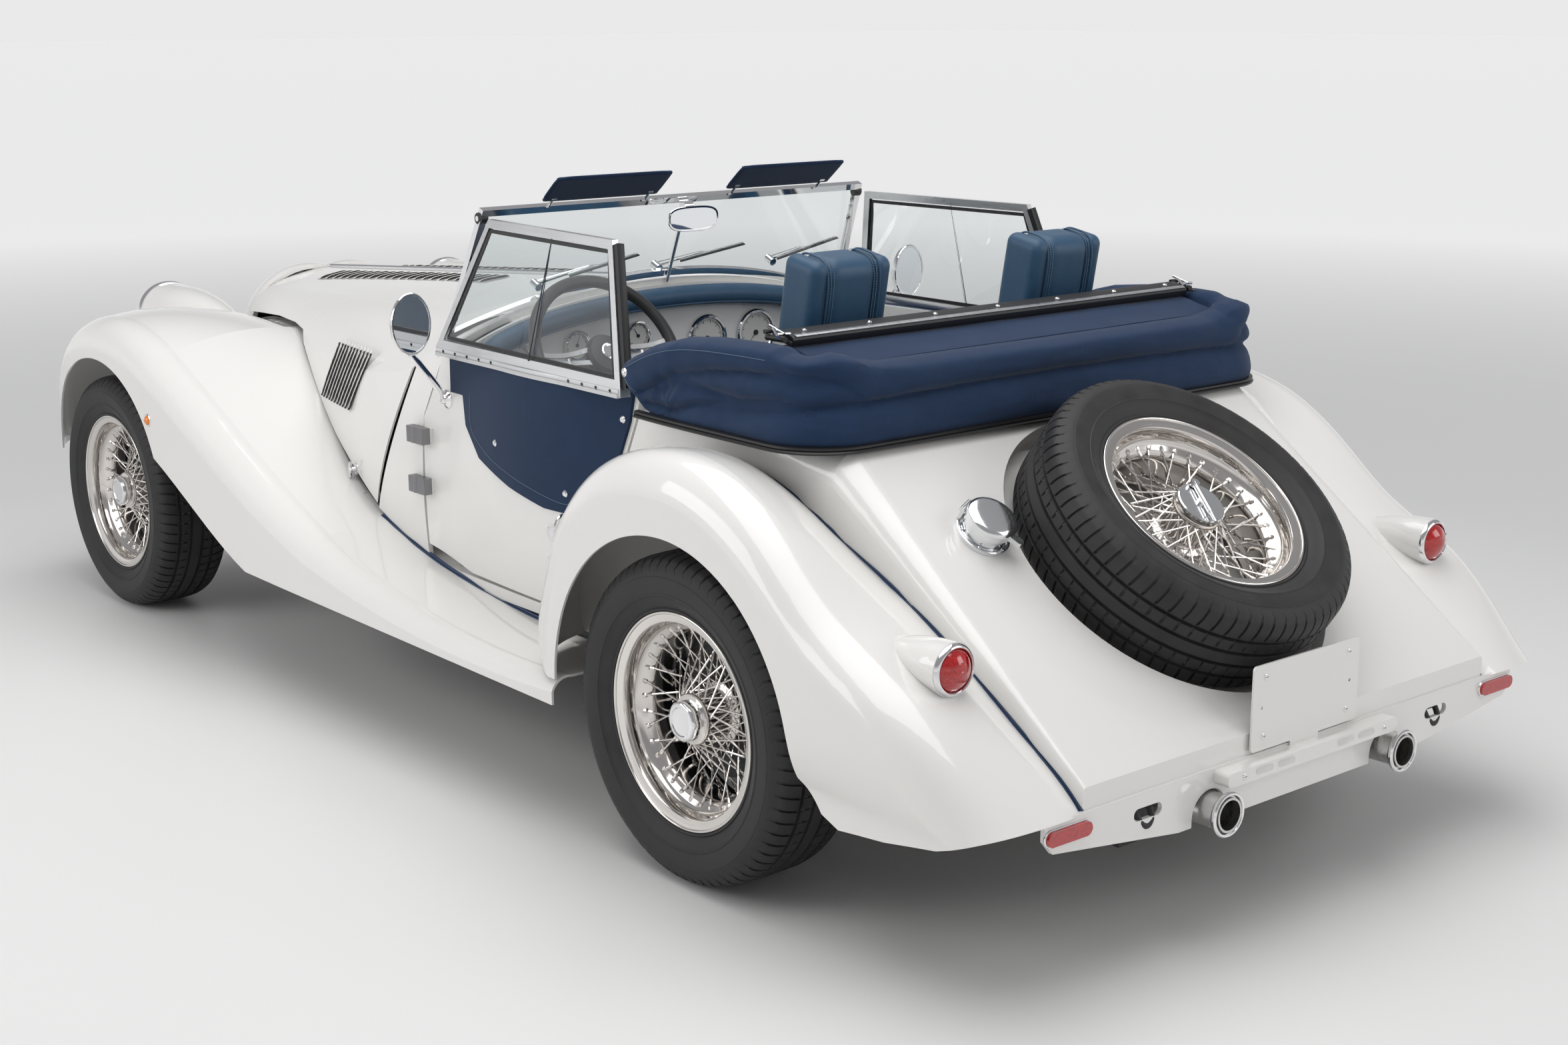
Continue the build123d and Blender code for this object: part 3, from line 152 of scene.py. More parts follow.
class Finish(Graph):
    """One material: a Principled shader and the nodes that feed it."""

    def __init__(self, name, colour, roughness, **sockets):
        self.material = bpy.data.materials.new(name)
        super().__init__(self.material)
        self.shader = self.node("ShaderNodeBsdfPrincipled")
        self.out = self.node("ShaderNodeOutputMaterial", None, [self.shader.outputs[0]])
        self.feed("Base Color", colour)
        self.feed("Roughness", roughness)
        for socket, value in sockets.items():
            self.feed(socket.replace("_", " "), value)
        self.material.diffuse_color = (*colour, 1)

    def feed(self, socket, value):
        self.connect(self.shader.inputs[socket], value)

    def place(self):
        """Object coordinates: metres in the car's frame."""
        return self.node("ShaderNodeTexCoord").outputs["Object"]

    def axes(self):
        split = self.node("ShaderNodeSeparateXYZ", None, [self.place()])
        return [Knob(self, output) for output in split.outputs]

    def noise(self, scale, detail=2.0, stretch=(1, 1, 1)):
        mapped = self.node("ShaderNodeMapping", None, {"Vector": self.place(), "Scale": stretch})
        node = self.node("ShaderNodeTexNoise", None,
                         {"Vector": mapped.outputs[0], "Scale": scale, "Detail": detail})
        return Knob(self, node.outputs[0])

    def cells(self, scale):
        node = self.node("ShaderNodeTexVoronoi", None, {"Vector": self.place(), "Scale": scale})
        return Knob(self, node.outputs["Distance"])

    def colours(self, factor, first, second):
        node = self.node("ShaderNodeMix", {"data_type": "RGBA"}, {0: factor, 6: first, 7: second})
        self.feed("Base Color", node.outputs[2])

    def bump(self, height, strength, distance):
        node = self.node("ShaderNodeBump", None,
                         {"Strength": strength, "Distance": distance, "Height": height})
        self.feed("Normal", node.outputs[0])


# %% [markdown]
# ## The world and the floor
# The floor is a plain pale sheet, far larger than the view. The world is pale near the horizon
# so that the floor seems to run into it, and darker overhead, so that chrome has something
# bright and something dark to show.

# %% World and floor
FLOOR_HALF = 90.0
FADE_START, FADE_LENGTH, FADE_STRENGTH = 3.0, 8.0, 0.62
SKY = ((0.0, (0.82, 0.82, 0.82)), (0.10, (0.74, 0.74, 0.75)), (0.32, (0.30, 0.30, 0.31)),
       (1.0, (0.36, 0.36, 0.37)))

world = bpy.data.worlds.new("studio")
bpy.context.scene.world = world
sky = Graph(world)
way = sky.node("ShaderNodeTexCoord").outputs["Generated"]
height = sky.node("ShaderNodeSeparateXYZ", None, [way]).outputs["Z"]
ramp = sky.node("ShaderNodeValToRGB", {"stops": SKY}, [height])
backdrop = sky.node("ShaderNodeBackground", None, {"Color": ramp.outputs[0], "Strength": 1.0})
sky.node("ShaderNodeOutputWorld", None, [backdrop.outputs[0]])

floor_mesh = bpy.data.meshes.new("floor")
corners = [(x * FLOOR_HALF, y * FLOOR_HALF, 0) for x, y in ((-1, -1), (1, -1), (1, 1), (-1, 1))]
floor_mesh.from_pydata(corners, [], [(0, 1, 2, 3)])
floor = put("floor", floor_mesh, (0, 0, 0), (0, 0, 0))
floor_finish = Finish("studio floor", (0.80, 0.80, 0.79), 0.42, Specular_IOR_Level=0.35)
# far from the car the floor fades to a pale even tone, so that no horizon shows
far_x, far_y, _ = floor_finish.axes()
far = ((far_x * far_x + far_y * far_y) ** 0.5 - FADE_START) / FADE_LENGTH
floor_finish.feed("Emission Color", (0.80, 0.80, 0.80))
floor_finish.feed("Emission Strength", far.at_least(0.0).at_most(1.0) * FADE_STRENGTH)
floor_mesh.materials.append(floor_finish.material)
print("floor is", 2 * FLOOR_HALF, "m wide")

# %% [markdown]
# ## Finishes for metal, paint and glass
# The coachwork is a warm white pearl: a soft base with tiny flakes under a clear coat. Bright
# parts are chrome or stainless steel, frames are satin alloy, and the fuel filler is polished
# aluminium with fine buffing marks.

# %% Hard finishes
EVEN = (1, 1, 1)


def plain(name, colour, roughness, rough=None, relief=None, **sockets):
    """A finish from two rows. rough: scale, detail, stretch, amount and base of the grain that
    drives roughness. relief: scale, detail, strength and distance of the bump, where a scale
    of 0 takes the same grain."""
    finish = Finish(name, colour, roughness, **sockets)
    if rough:
        scale, detail, stretch, amount, base = rough
        grain = finish.noise(scale, detail, stretch)
        finish.feed("Roughness", grain * amount + base)
    if relief:
        scale, detail, strength, distance = relief
        finish.bump(finish.noise(scale, detail) if scale else grain, strength, distance)
    return finish


PEARL, PEARL_FLAKE = (0.80, 0.79, 0.765), (0.85, 0.845, 0.83)
paint = plain("pearl white paint", PEARL, 0.38, (9, 3, EVEN, 0.06, 0.34), (420, 1, 0.03, 0.0004),
              Coat_Weight=1.0, Coat_Roughness=0.035, Specular_IOR_Level=0.5)
paint.colours((paint.cells(2600.0) < 0.24) * 0.5, PEARL, PEARL_FLAKE)
inner_paint = plain("satin white paint", (0.74, 0.73, 0.71), 0.42, None, (300, 2, 0.05, 0.0005),
                    Coat_Weight=0.3, Coat_Roughness=0.2)
chrome = plain("chrome", (0.83, 0.83, 0.84), 0.05, (35, 3, EVEN, 0.06, 0.02), Metallic=1.0)
stainless = plain("stainless wire", (0.72, 0.69, 0.66), 0.12, (60, 2, EVEN, 0.12, 0.06),
                  Metallic=1.0)
alloy = plain("satin alloy", (0.74, 0.745, 0.75), 0.3, (120, 3, (1, 0.04, 1), 0.22, 0.2),
              (0, 0, 0.08, 0.0003), Metallic=1.0)
polished = plain("polished aluminium", (0.80, 0.81, 0.82), 0.14,
                 (240, 3, (0.06, 1, 1), 0.16, 0.07), (0, 0, 0.05, 0.0002), Metallic=1.0)
brushed = plain("brushed exhaust steel", (0.62, 0.61, 0.60), 0.28,
                (160, 3, (0.05, 1, 0.05), 0.25, 0.16), (0, 0, 0.1, 0.0003), Metallic=1.0)
hinge_steel = plain("hinge steel", (0.26, 0.26, 0.27), 0.34, (90, 3, EVEN, 0.2, 0.24),
                    Metallic=1.0)
black_steel = plain("black chassis coating", (0.018, 0.018, 0.020), 0.5,
                    (40, 3, EVEN, 0.25, 0.38), (500, 2, 0.15, 0.0005))
black_trim = plain("black moulding", (0.016, 0.016, 0.017), 0.42, None, (900, 2, 0.12, 0.0003))
edge_rubber = plain("black edge rubber", (0.012, 0.012, 0.013), 0.38, None,
                    (400, 2, 0.08, 0.0004))
beading = plain("navy beading", (0.014, 0.040, 0.100), 0.34, None, (500, 2, 0.08, 0.0003),
                Coat_Weight=0.5, Coat_Roughness=0.12)
dial_black = plain("dial print", (0.012, 0.012, 0.012), 0.5, None, (900, 1, 0.05, 0.0002))
dial_white = plain("dial face", (0.62, 0.61, 0.58), 0.35)
dial_white.colours(dial_white.noise(300.0, 2.0), (0.58, 0.57, 0.54), (0.66, 0.65, 0.62))
mirror_glass = plain("mirror glass", (0.86, 0.88, 0.90), 0.015, Metallic=1.0)
print("hard finishes and the floor", len(bpy.data.materials))

# %% Glass and lenses


def clear_glass(name, colour, roughness=0.0):
    """Glass that lets the lamps shine through, so that the cabin behind it is lit."""
    finish = Finish(name, colour, roughness, Transmission_Weight=1.0, IOR=1.45,
                    Specular_IOR_Level=0.5)
    shadow = finish.node("ShaderNodeLightPath").outputs["Is Shadow Ray"]
    through = finish.node("ShaderNodeBsdfTransparent", None, [colour])
    mix = finish.node("ShaderNodeMixShader", None,
                      [shadow, finish.shader.outputs[0], through.outputs[0]])
    finish.connect(finish.out.inputs[0], mix.outputs[0])
    return finish


def lens_finish(name, colour, roughness, coat, scale, contrast, bright, deep, strength):
    """A coloured lens, moulded in small cells."""
    finish = Finish(name, colour, roughness, Coat_Weight=1.0, Coat_Roughness=coat)
    facets = finish.cells(scale)
    finish.colours(facets * contrast, bright, deep)
    finish.bump(facets, strength, 0.0008)
    return finish


glass = clear_glass("window glass", (0.90, 0.93, 0.93))
lamp_glass = clear_glass("lamp glass", (0.96, 0.96, 0.96), 0.02)
red_lens = lens_finish("red lamp lens", (0.55, 0.006, 0.008), 0.08, 0.02, 210.0, 1.4,
                       (0.62, 0.008, 0.010), (0.36, 0.003, 0.004), 0.25)
amber = Finish("amber marker", (0.80, 0.22, 0.01), 0.10, Coat_Weight=1.0, Coat_Roughness=0.03)
amber.bump((amber.axes()[2] * 1800.0).sine(), 0.3, 0.0006)
print("with glass and lenses", len(bpy.data.materials))

# %% [markdown]
# ## Finishes for cloth, leather and rubber
# The folded hood is a tight twill: two slanting sets of ribs with a soft sheen. The crests of the
# ribs are painted lighter and the grooves between them darker, a painted highlight and painted
# shade. The leather has a pebbled grain with wider, slower creases, painted darker in their
# hollows and lighter on their raised parts: painted shade and painted highlight. Rubber is
# nearly black, and dusty where a thumb would rub it.

# %% Soft finishes


def cloth(name, dark, light, pitch):
    finish = Finish(name, dark, 0.82, Sheen_Weight=0.12, Sheen_Roughness=0.4,
                    Specular_IOR_Level=0.25)
    x, y, z = finish.axes()
    turns = 2 * math.pi / pitch
    warp = ((x + y * 0.8 + z) * turns).sine() * 0.5 + 0.5
    weft = ((x - y * 0.8 + z * 0.7) * (turns * 0.94)).sine() * 0.5 + 0.5
    weave = warp * 0.6 + weft * 0.4
    # colour: rib crests painted lighter and grooves darker (painted highlight and painted shade),
    # mixed with a slow random tone
    finish.colours(weave * 0.55 + finish.noise(26.0, 4.0) * 0.45, dark, light)
    finish.feed("Roughness", weave * -0.12 + 0.88)
    finish.bump(weave + finish.noise(700.0, 2.0) * 0.5, 0.5, 0.0004)
    return finish


def hide(name, deep, raised_highlight):
    finish = Finish(name, deep, 0.46, Specular_IOR_Level=0.45, Sheen_Weight=0.08,
                    Coat_Weight=0.08, Coat_Roughness=0.35)
    grain, creases = finish.cells(620.0), finish.noise(55.0, 5.0)
    # colour: painted darker in the hollows of the grain and creases and lighter on their raised
    # parts, a painted shade and painted highlight
    finish.colours(creases * 0.7 + grain * 0.35, deep, raised_highlight)
    finish.feed("Roughness", creases * 0.16 + grain * 0.12 + 0.34)
    finish.bump(grain * 0.7 + creases * 0.5, 0.32, 0.0006)
    return finish


hood_cloth = cloth("navy hood cloth", (0.007, 0.020, 0.055), (0.017, 0.043, 0.102), 0.0016)
panel_cloth = cloth("navy panel cloth", (0.007, 0.020, 0.050), (0.016, 0.038, 0.090), 0.0014)
leather = hide("blue leather", (0.011, 0.046, 0.098), (0.024, 0.084, 0.158))
wheel_hide = hide("black wheel leather", (0.010, 0.010, 0.011), (0.026, 0.026, 0.028))
carpet = plain("dark blue carpet", (0.012, 0.018, 0.038), 0.95, None, (1200, 3, 0.8, 0.002),
               Sheen_Weight=0.4, Sheen_Roughness=0.6)
carpet.colours(carpet.noise(900.0, 3.0), (0.006, 0.009, 0.02), (0.03, 0.042, 0.08))
thread = Finish("pale blue thread", (0.16, 0.25, 0.34), 0.6)
thread.bump((thread.axes()[1] * 5200.0).sine(), 0.4, 0.0003)
rubber = Finish("tyre rubber", (0.022, 0.022, 0.023), 0.62, Specular_IOR_Level=0.35)
dust = rubber.noise(22.0, 5.0)
rubber.colours(dust, (0.014, 0.014, 0.015), (0.042, 0.042, 0.043))
rubber.feed("Roughness", dust * 0.3 + 0.42)
rubber.bump(rubber.noise(650.0, 3.0), 0.18, 0.0005)
print("with cloth, leather and rubber", len(bpy.data.materials))

# %% [markdown]
# ## Dressing the pieces that keep their shape
# These nodes already have their final form, so each one only gets a finish. A node that a
# finer piece stands for further on is dressed as well.

# %% Finish by node
DRESSED = (
    (paint, "rear_body scuttle bonnet_left bonnet_right front_wings rear_wings radiator_cowl "
            "door_left door_right tail_lamps rear_valance plate_holder"),
    (inner_paint, "dashboard"),
    (chrome, "grille wipers windscreen_frame cabin_mirror door_mirror_left door_mirror_right "
             "spare_mount"),
    (stainless, "wheel_front_left wheel_front_right wheel_rear_left wheel_rear_right "
                "spare_wheel"),
    (polished, "filler_neck filler_lid"),
    (alloy, "sidescreen_frame_left sidescreen_frame_right"),
    (black_steel, "chassis inner_panels front_axle rear_axle knuckle_left knuckle_right engine "
                  "steering_column"),
    (black_trim, "hood_rail"),
    (wheel_hide, "steering_wheel"),
    (carpet, "cabin_trim"),
    (leather, "seats dash_pad"),
    (panel_cloth, "sidescreen_panel_left sidescreen_panel_right"),
    (hood_cloth, "soft_top sun_visors"),
    (rubber, "tyre_front_left tyre_front_right tyre_rear_left tyre_rear_right spare_tyre"),
    (glass, "windscreen_glass sidescreen_glass_left sidescreen_glass_right"),
    (lamp_glass, "headlamps"),
    (red_lens, "rear_lenses"),
    (brushed, "exhaust"),
)
for finish, names in DRESSED:
    for name in names.split():
        slots = NODES[name].data.materials
        slots.clear()
        slots.append(finish.material)
print("dressed", sum(len(names.split()) for _, names in DRESSED), "nodes")

# %% [markdown]
# ## Tools for making pieces
# Positions are written in millimetres, as on a drawing, and scaled once when the mesh is made.
# A shape is a pair of points and faces, and `to_mesh` welds it and gives it a finish. `piece`
# makes the object that rides on a body and, where it stands for a frame node, hides that node.

# %% Mesh helpers
MIRROR = Matrix.Scale(-1, 4, (1, 0, 0))


def shift(place):
    """A move by a place in millimetres."""
    return Matrix.Translation(Vector(place) * MM)


def spin(degrees, axis):
    return Matrix.Rotation(math.radians(degrees), 4, axis)


def carried(matrix, point):
    """A point in millimetres, carried by a matrix in metres."""
    return matrix @ (Vector(point) * MM) * METRE


def shade(mesh, angle):
    """Smooth, with a sharp edge wherever faces meet at more than the angle."""
    mesh.shade_smooth()
    mesh.set_sharp_from_angle(angle=math.radians(angle))
    return mesh


def finish_mesh(mesh, finish, angle=35.0):
    """Weld, turn the faces outwards, shade smooth."""
    work = bmesh.new()
    work.from_mesh(mesh)
    bmesh.ops.remove_doubles(work, verts=work.verts, dist=0.000004)
    bmesh.ops.dissolve_degenerate(work, edges=work.edges, dist=0.000002)
    bmesh.ops.recalc_face_normals(work, faces=work.faces)
    work.to_mesh(mesh)
    work.free()
    if finish is not None:
        mesh.materials.clear()
        mesh.materials.append(finish.material)
    return shade(mesh, angle)


def raw_mesh(points, faces=()):
    mesh = bpy.data.meshes.new("part")
    mesh.from_pydata([tuple(MM * c for c in point) for point in points], [], faces)
    return mesh


def to_mesh(shape, finish, angle=35.0):
    return finish_mesh(raw_mesh(*shape), finish, angle)


def join(meshes, angle=35.0):
    """One mesh from several, each keeping its own material."""
    work = bmesh.new()
    result = bpy.data.meshes.new("joined")
    materials = []
    for mesh in meshes:
        first = len(work.faces)
        work.from_mesh(mesh)
        work.faces.ensure_lookup_table()
        for face in list(work.faces)[first:]:
            material = mesh.materials[face.material_index]
            if material not in materials:
                materials.append(material)
            face.material_index = materials.index(material)
    work.to_mesh(result)
    work.free()
    for material in materials:
        result.materials.append(material)
    return shade(result, angle)


def piece(name, mesh, body, replaces=()):
    """An object for a finished mesh, or for a list of meshes to join, tied to its body."""
    mesh = join(mesh) if isinstance(mesh, list) else mesh
    mesh.name = name
    made = put(name, mesh, (0, 0, 0), (0, 0, 0))
    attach(made, body)
    if replaces:
        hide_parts(*replaces)


def moved(mesh, matrix):
    """A copy of a mesh, carried by a matrix in metres."""
    copy = mesh.copy()
    copy.transform(matrix)
    if matrix.determinant() < 0:
        copy.flip_normals()
    return copy


def both(mesh):
    """A mesh and its mirror image, as one."""
    return join([mesh, moved(mesh, MIRROR)])


# %% Shapes


def turns(count, offset=0.0):
    """Cosine and sine at equal steps of one turn."""
    angles = [2 * math.pi * (i + offset) / count for i in range(count)]
    return [(math.cos(a), math.sin(a)) for a in angles]


def bands(rows, n, closed=True, loop=False):
    """Faces between rows of n points. Closed rows get a cap at each end, unless the rows
    themselves run in a loop."""
    faces = []
    for i in range(rows if loop else rows - 1):
        a, b = i * n, (i + 1) % rows * n
        faces += [(a + k, a + (k + 1) % n, b + (k + 1) % n, b + k)
                  for k in range(n if closed else n - 1)]
    if closed and not loop:
        faces += [tuple(range(n))[::-1], tuple(range((rows - 1) * n, rows * n))]
    return faces


def slab(rows, n):
    """Faces of two layers of rows by n points, joined along their rim."""
    layer, faces = rows * n, []
    for i in range(rows - 1):
        for a in range(i * n, i * n + n - 1):
            b, c = layer + a, layer + a + n
            faces += [(a, a + 1, a + n + 1, a + n), (c, c + 1, b + 1, b)]
    rim = list(range(n)) + [i * n + n - 1 for i in range(1, rows)]
    rim += [(rows - 1) * n + k for k in range(n - 2, -1, -1)]
    rim += [i * n for i in range(rows - 2, 0, -1)]
    return faces + [(a, layer + a, layer + b, b) for a, b in zip(rim, rim[1:] + rim[:1])]


def lathe(profile, finish, steps=96, closed=True, angle=35.0):
    """Turn (x, radius) points about the X axis."""
    points = [(x, r * c, r * s) for c, s in turns(steps) for x, r in profile]
    return to_mesh((points, bands(steps, len(profile), closed, True)), finish, angle)


def turned(profile, finish, steps=32, angle=35.0):
    """Turn (height, radius) points about the Z axis."""
    return moved(lathe(profile, finish, steps, True, angle), spin(-90, "Y"))


def rod(start, end, radius, sides=6, radius_end=None):
    """The shape of a capped rod between two points."""
    start, end = Vector(start), Vector(end)
    along = (end - start).normalized()
    across = along.orthogonal().normalized()
    third = along.cross(across)
    radius_end = radius if radius_end is None else radius_end
    points = [centre + (across * c + third * s) * r
              for centre, r in ((start, radius), (end, radius_end)) for c, s in turns(sides)]
    return points, bands(2, sides)


def group(shapes):
    """One shape from several."""
    points, faces = [], []
    for more, quads in shapes:
        base = len(points)
        points.extend(more)
        faces.extend(tuple(base + i for i in face) for face in quads)
    return points, faces


def rods(rows, finish, angle=50.0):
    """One mesh from rows of rod values."""
    return to_mesh(group(rod(*row) for row in rows), finish, angle)


def smooth_line(points, steps):
    """A Catmull-Rom curve through the points, with that many steps for each span."""
    points = [Vector(p) for p in points]
    ends = [points[0] * 2 - points[1]] + points + [points[-1] * 2 - points[-2]]
    curve = []
    for i in range(1, len(ends) - 2):
        a, b, c, d = ends[i - 1:i + 3]
        for k in range(steps):
            t = k / steps
            curve.append(0.5 * (2 * b + (c - a) * t + (2 * a - 5 * b + 4 * c - d) * t * t
                                + (3 * b - a - 3 * c + d) * t ** 3))
    return curve + [points[-1]]


def sweep(path, section, finish, up=(0, 0, 1), closed=False, angle=35.0):
    """Carry a closed section, (side, height) points, along a path."""
    path, points = [Vector(p) for p in path], []
    m = len(path)
    for i, here in enumerate(path):
        before = path[i - 1] if i or closed else here
        after = path[(i + 1) % m] if i < m - 1 or closed else here
        along = (after - before).normalized()
        side = along.cross(Vector(up)).normalized()
        rise = side.cross(along)
        points += [here + side * s + rise * h for s, h in section]
    return to_mesh((points, bands(m, len(section), True, closed)), finish, angle)


def circle(radius, sides=10, flat=1.0):
    """A round section for sweep, squashed by flat in height."""
    return [(radius * c, radius * flat * s) for c, s in turns(sides)]


def box_section(width, height):
    return [(-width, -height), (width, -height), (width, height), (-width, height)]


def oval(c, s, power):
    """How far a squared-off circle reaches in the direction (c, s)."""
    return 1 / (abs(c) ** power + abs(s) ** power) ** (1 / power)


# %% [markdown]
# ## Two Geometry Nodes trees
# A wheel repeats one group of spokes, and a tyre one pitch of tread. The first tree turns
# copies of a mesh about the X axis and welds them. The second puts a small part on every point
# of a guide mesh, turned as the guide's own attribute says: louvres, the black rods of painted
# shade under them, and stitches.

# %% Node trees


def node_tree(name, inputs, nodes, links):
    """A tree from tables. A link is written as 'node.output > node.input'."""
    tree = bpy.data.node_groups.new(name, "GeometryNodeTree")
    for label, kind in inputs.items():
        tree.interface.new_socket(label, in_out="INPUT", socket_type="NodeSocket" + kind)
    tree.interface.new_socket("Geometry", in_out="OUTPUT", socket_type="NodeSocketGeometry")
    made = {label: tree.nodes.new(kind) for label, kind in nodes.items()}
    for link in links:
        ends = [end.split(".") for end in link.split(" > ")]
        (start, output), (end, entry) = [(made[n], int(s) if s.isdigit() else s) for n, s in ends]
        tree.links.new(start.outputs[output], end.inputs[entry])
    return tree, made


ENDS = {"given": "NodeGroupInput", "result": "NodeGroupOutput",
        "place": "GeometryNodeInstanceOnPoints", "real": "GeometryNodeRealizeInstances",
        "coat": "GeometryNodeSetMaterial"}
END_LINKS = ["place.0 > real.0", "given.Finish > coat.Material", "coat.0 > result.0"]
RING, made = node_tree(
    "copies about an axle",
    {"Geometry": "Geometry", "Count": "Int", "Weld": "Float", "Finish": "Material"},
    {**ENDS, "spots": "GeometryNodePoints", "index": "GeometryNodeInputIndex",
     "step": "ShaderNodeMath", "turn": "ShaderNodeMath", "turn_xyz": "ShaderNodeCombineXYZ",
     "weld": "GeometryNodeMergeByDistance"},
    ["given.Count > spots.Count", "given.Count > step.1", "index.0 > turn.0", "step.0 > turn.1",
     "turn.0 > turn_xyz.X", "spots.0 > place.Points", "given.Geometry > place.Instance",
     "turn_xyz.0 > place.Rotation", "real.0 > weld.Geometry", "given.Weld > weld.Distance",
     "weld.0 > coat.Geometry", *END_LINKS])
made["step"].operation, made["turn"].operation = "DIVIDE", "MULTIPLY"
made["step"].inputs[0].default_value = 2 * math.pi
SCATTER, made = node_tree(
    "one part on every point", {"Geometry": "Geometry", "Part": "Object", "Finish": "Material"},
    {**ENDS, "part": "GeometryNodeObjectInfo", "turn": "GeometryNodeInputNamedAttribute"},
    ["given.Geometry > place.Points", "given.Part > part.Object",
     "part.Geometry > place.Instance", "real.0 > coat.Geometry", *END_LINKS])
made["turn"].data_type = "FLOAT_VECTOR"
made["turn"].inputs["Name"].default_value = "turn"
SCATTER.links.new(made["turn"].outputs["Attribute"], made["place"].inputs["Rotation"])
print("trees", RING.name, "and", SCATTER.name)

# %% Running a tree


def grow(mesh, tree, angle, values):
    """Run a tree on a mesh and give back the plain mesh that it makes."""
    maker = put("maker", mesh, (0, 0, 0), (0, 0, 0))
    modifier = maker.modifiers.new("grow", "NODES")
    modifier.node_group = tree
    for item in tree.interface.items_tree:
        if item.in_out == "INPUT" and item.name in values:
            modifier[item.identifier] = values[item.name]
    bpy.context.view_layer.update()
    evaluated = maker.evaluated_get(bpy.context.evaluated_depsgraph_get())
    result = bpy.data.meshes.new_from_object(evaluated)
    bpy.data.objects.remove(maker)
    return shade(result, angle)


def around(mesh, count, finish, weld, angle):
    return grow(mesh, RING, angle, {"Count": count, "Weld": weld, "Finish": finish.material})


def on_points(part_mesh, spots, finish, angle=35.0):
    """Put a part on spots, each a place in millimetres and a matrix."""
    guide = raw_mesh([place for place, _ in spots])
    attribute = guide.attributes.new("turn", "FLOAT_VECTOR", "POINT")
    for entry, (_, turn) in zip(attribute.data, spots):
        entry.vector = turn.to_euler()
    part = put("scattered part", part_mesh, (0, 0, 0), (0, 0, 0))
    result = grow(guide, SCATTER, angle, {"Part": part, "Finish": finish.material})
    bpy.data.objects.remove(part)
    return result


def facing(normal, up=(0, 0, 1)):
    """A turn that points a part's local Z along normal, its Y as near to up as it can."""
    z = Vector(normal).normalized()
    x = Vector(up).cross(z).normalized()
    return Matrix((x, z.cross(x), z)).transposed()


# %% [markdown]
# ## Wire wheels
# Each wheel has 72 wires. They run from two rows of holes in the hub, crossing on their way to
# two rows of nipples in the rim. Eighteen turns of one group of four wires make the set. The
# rim is a deep polished trough, and an eight-sided nut holds the hub.

# %% Rim, hub and wires
WHEEL_TURNS = 18
WIRE_RADIUS, SLEEVE_RADIUS = 1.9, 3.0
# hub x and radius, rim x and radius, first angle, turn between the ends
WIRES = ((-15, 52, 36, 173, 0, 40), (-15, 52, 36, 173, 10, -40),
         (53, 43, -22, 163, 5, 50), (53, 43, -22, 163, 15, -50))
# nipple: where each part starts and ends before the rim, and its radii there
NIPPLE = ((6, 3.5, 4.4, 5.6), (3.5, -2, 5.6, 5.6), (-2, -5, 5.6, 3.0))
LIP_X, LIP_RADIUS, LIP_ROLL = 82, 204.4, 3.2
RIM_FRONT = [(82, 199), (78.5, 191), (77.5, 187), (74, 184.6), (60, 183.6), (56, 185),
             (52, 183.4), (46, 181.4), (41, 176), (36, 169), (30, 162), (24, 159.4), (12, 158.6)]
RIM_BACK = [(-12, 158.6), (-24, 159.4), (-30, 162), (-44, 180), (-74, 184), (-80, 195),
            (-82.4, 204), (-80, 207.4), (-73, 207.4), (-71, 190), (-40, 188), (-24, 166),
            (24, 166), (40, 188), (71, 190), (74, 206)]
HUB_PROFILE = [(-20, 30), (-20, 57), (-17, 58.4), (-12, 58.4), (-9, 55), (-8, 48), (-4, 44),
               (6, 42.5), (38, 38.5), (45, 39), (47, 46), (49.5, 48.6), (56, 48.6), (58.5, 47),
               (59.5, 40), (63, 34), (66, 32), (66, 12), (-18, 12)]
# the nut's first four rings are eight-sided, the others round
NUT_RINGS = [(62, 35), (66, 39), (78, 39), (81, 36.5), (82.5, 34), (82.5, 28), (80.5, 26),
             (80, 10), (80, 0.1)]
NUT_FLAT_RINGS, NUT_STEPS = 4, 32


def rim_mesh():
    rolled = [math.radians(degrees) for degrees in range(180, -91, -30)]
    lip = [(LIP_X + LIP_ROLL * math.cos(a), LIP_RADIUS + LIP_ROLL * math.sin(a)) for a in rolled]
    return lathe(lip + RIM_FRONT + RIM_BACK, stainless, steps=144, angle=50)


def wire_group():
    rows = []
    for hub_x, hub_r, rim_x, rim_r, first, turn in WIRES:
        a, b = math.radians(first), math.radians(first + turn)
        start = Vector((hub_x, hub_r * math.cos(a), hub_r * math.sin(a)))
        end = Vector((rim_x, rim_r * math.cos(b), rim_r * math.sin(b)))
        along = (end - start).normalized()
        rows += [(start - along * 6, end, WIRE_RADIUS, 6),
                 (end - along * 17, end - along * 6, SLEEVE_RADIUS, 8)]
        rows += [(end - along * near, end - along * far, r_near, 8, r_far)
                 for near, far, r_near, r_far in NIPPLE]
    return rods(rows, stainless)


def hub_nut():
    """Eight-sided nut: chamfered prism with a shallow dished face."""
    points, eighth = [], math.pi / 4
    for k, (x, r) in enumerate(NUT_RINGS):
        for i, (c, s) in enumerate(turns(NUT_STEPS, 0.5)):
            part = 2 * math.pi * (i + 0.5) / NUT_STEPS % eighth - eighth / 2
            flat = math.cos(eighth / 2) / math.cos(part) * 1.04 if k < NUT_FLAT_RINGS else 1.0
            points.append((x, r * flat * c, r * flat * s))
    return to_mesh((points, bands(len(NUT_RINGS), NUT_STEPS)[:-1]), chrome, 28)


# %% Build one wheel
BARE_PARTS = [rim_mesh(), lathe(HUB_PROFILE, stainless, steps=64, angle=30),
              around(wire_group(), WHEEL_TURNS, stainless, weld=0.0, angle=50)]
WHEEL = join(BARE_PARTS + [hub_nut()], angle=40)
print("one wheel has", len(WHEEL.polygons), "faces")

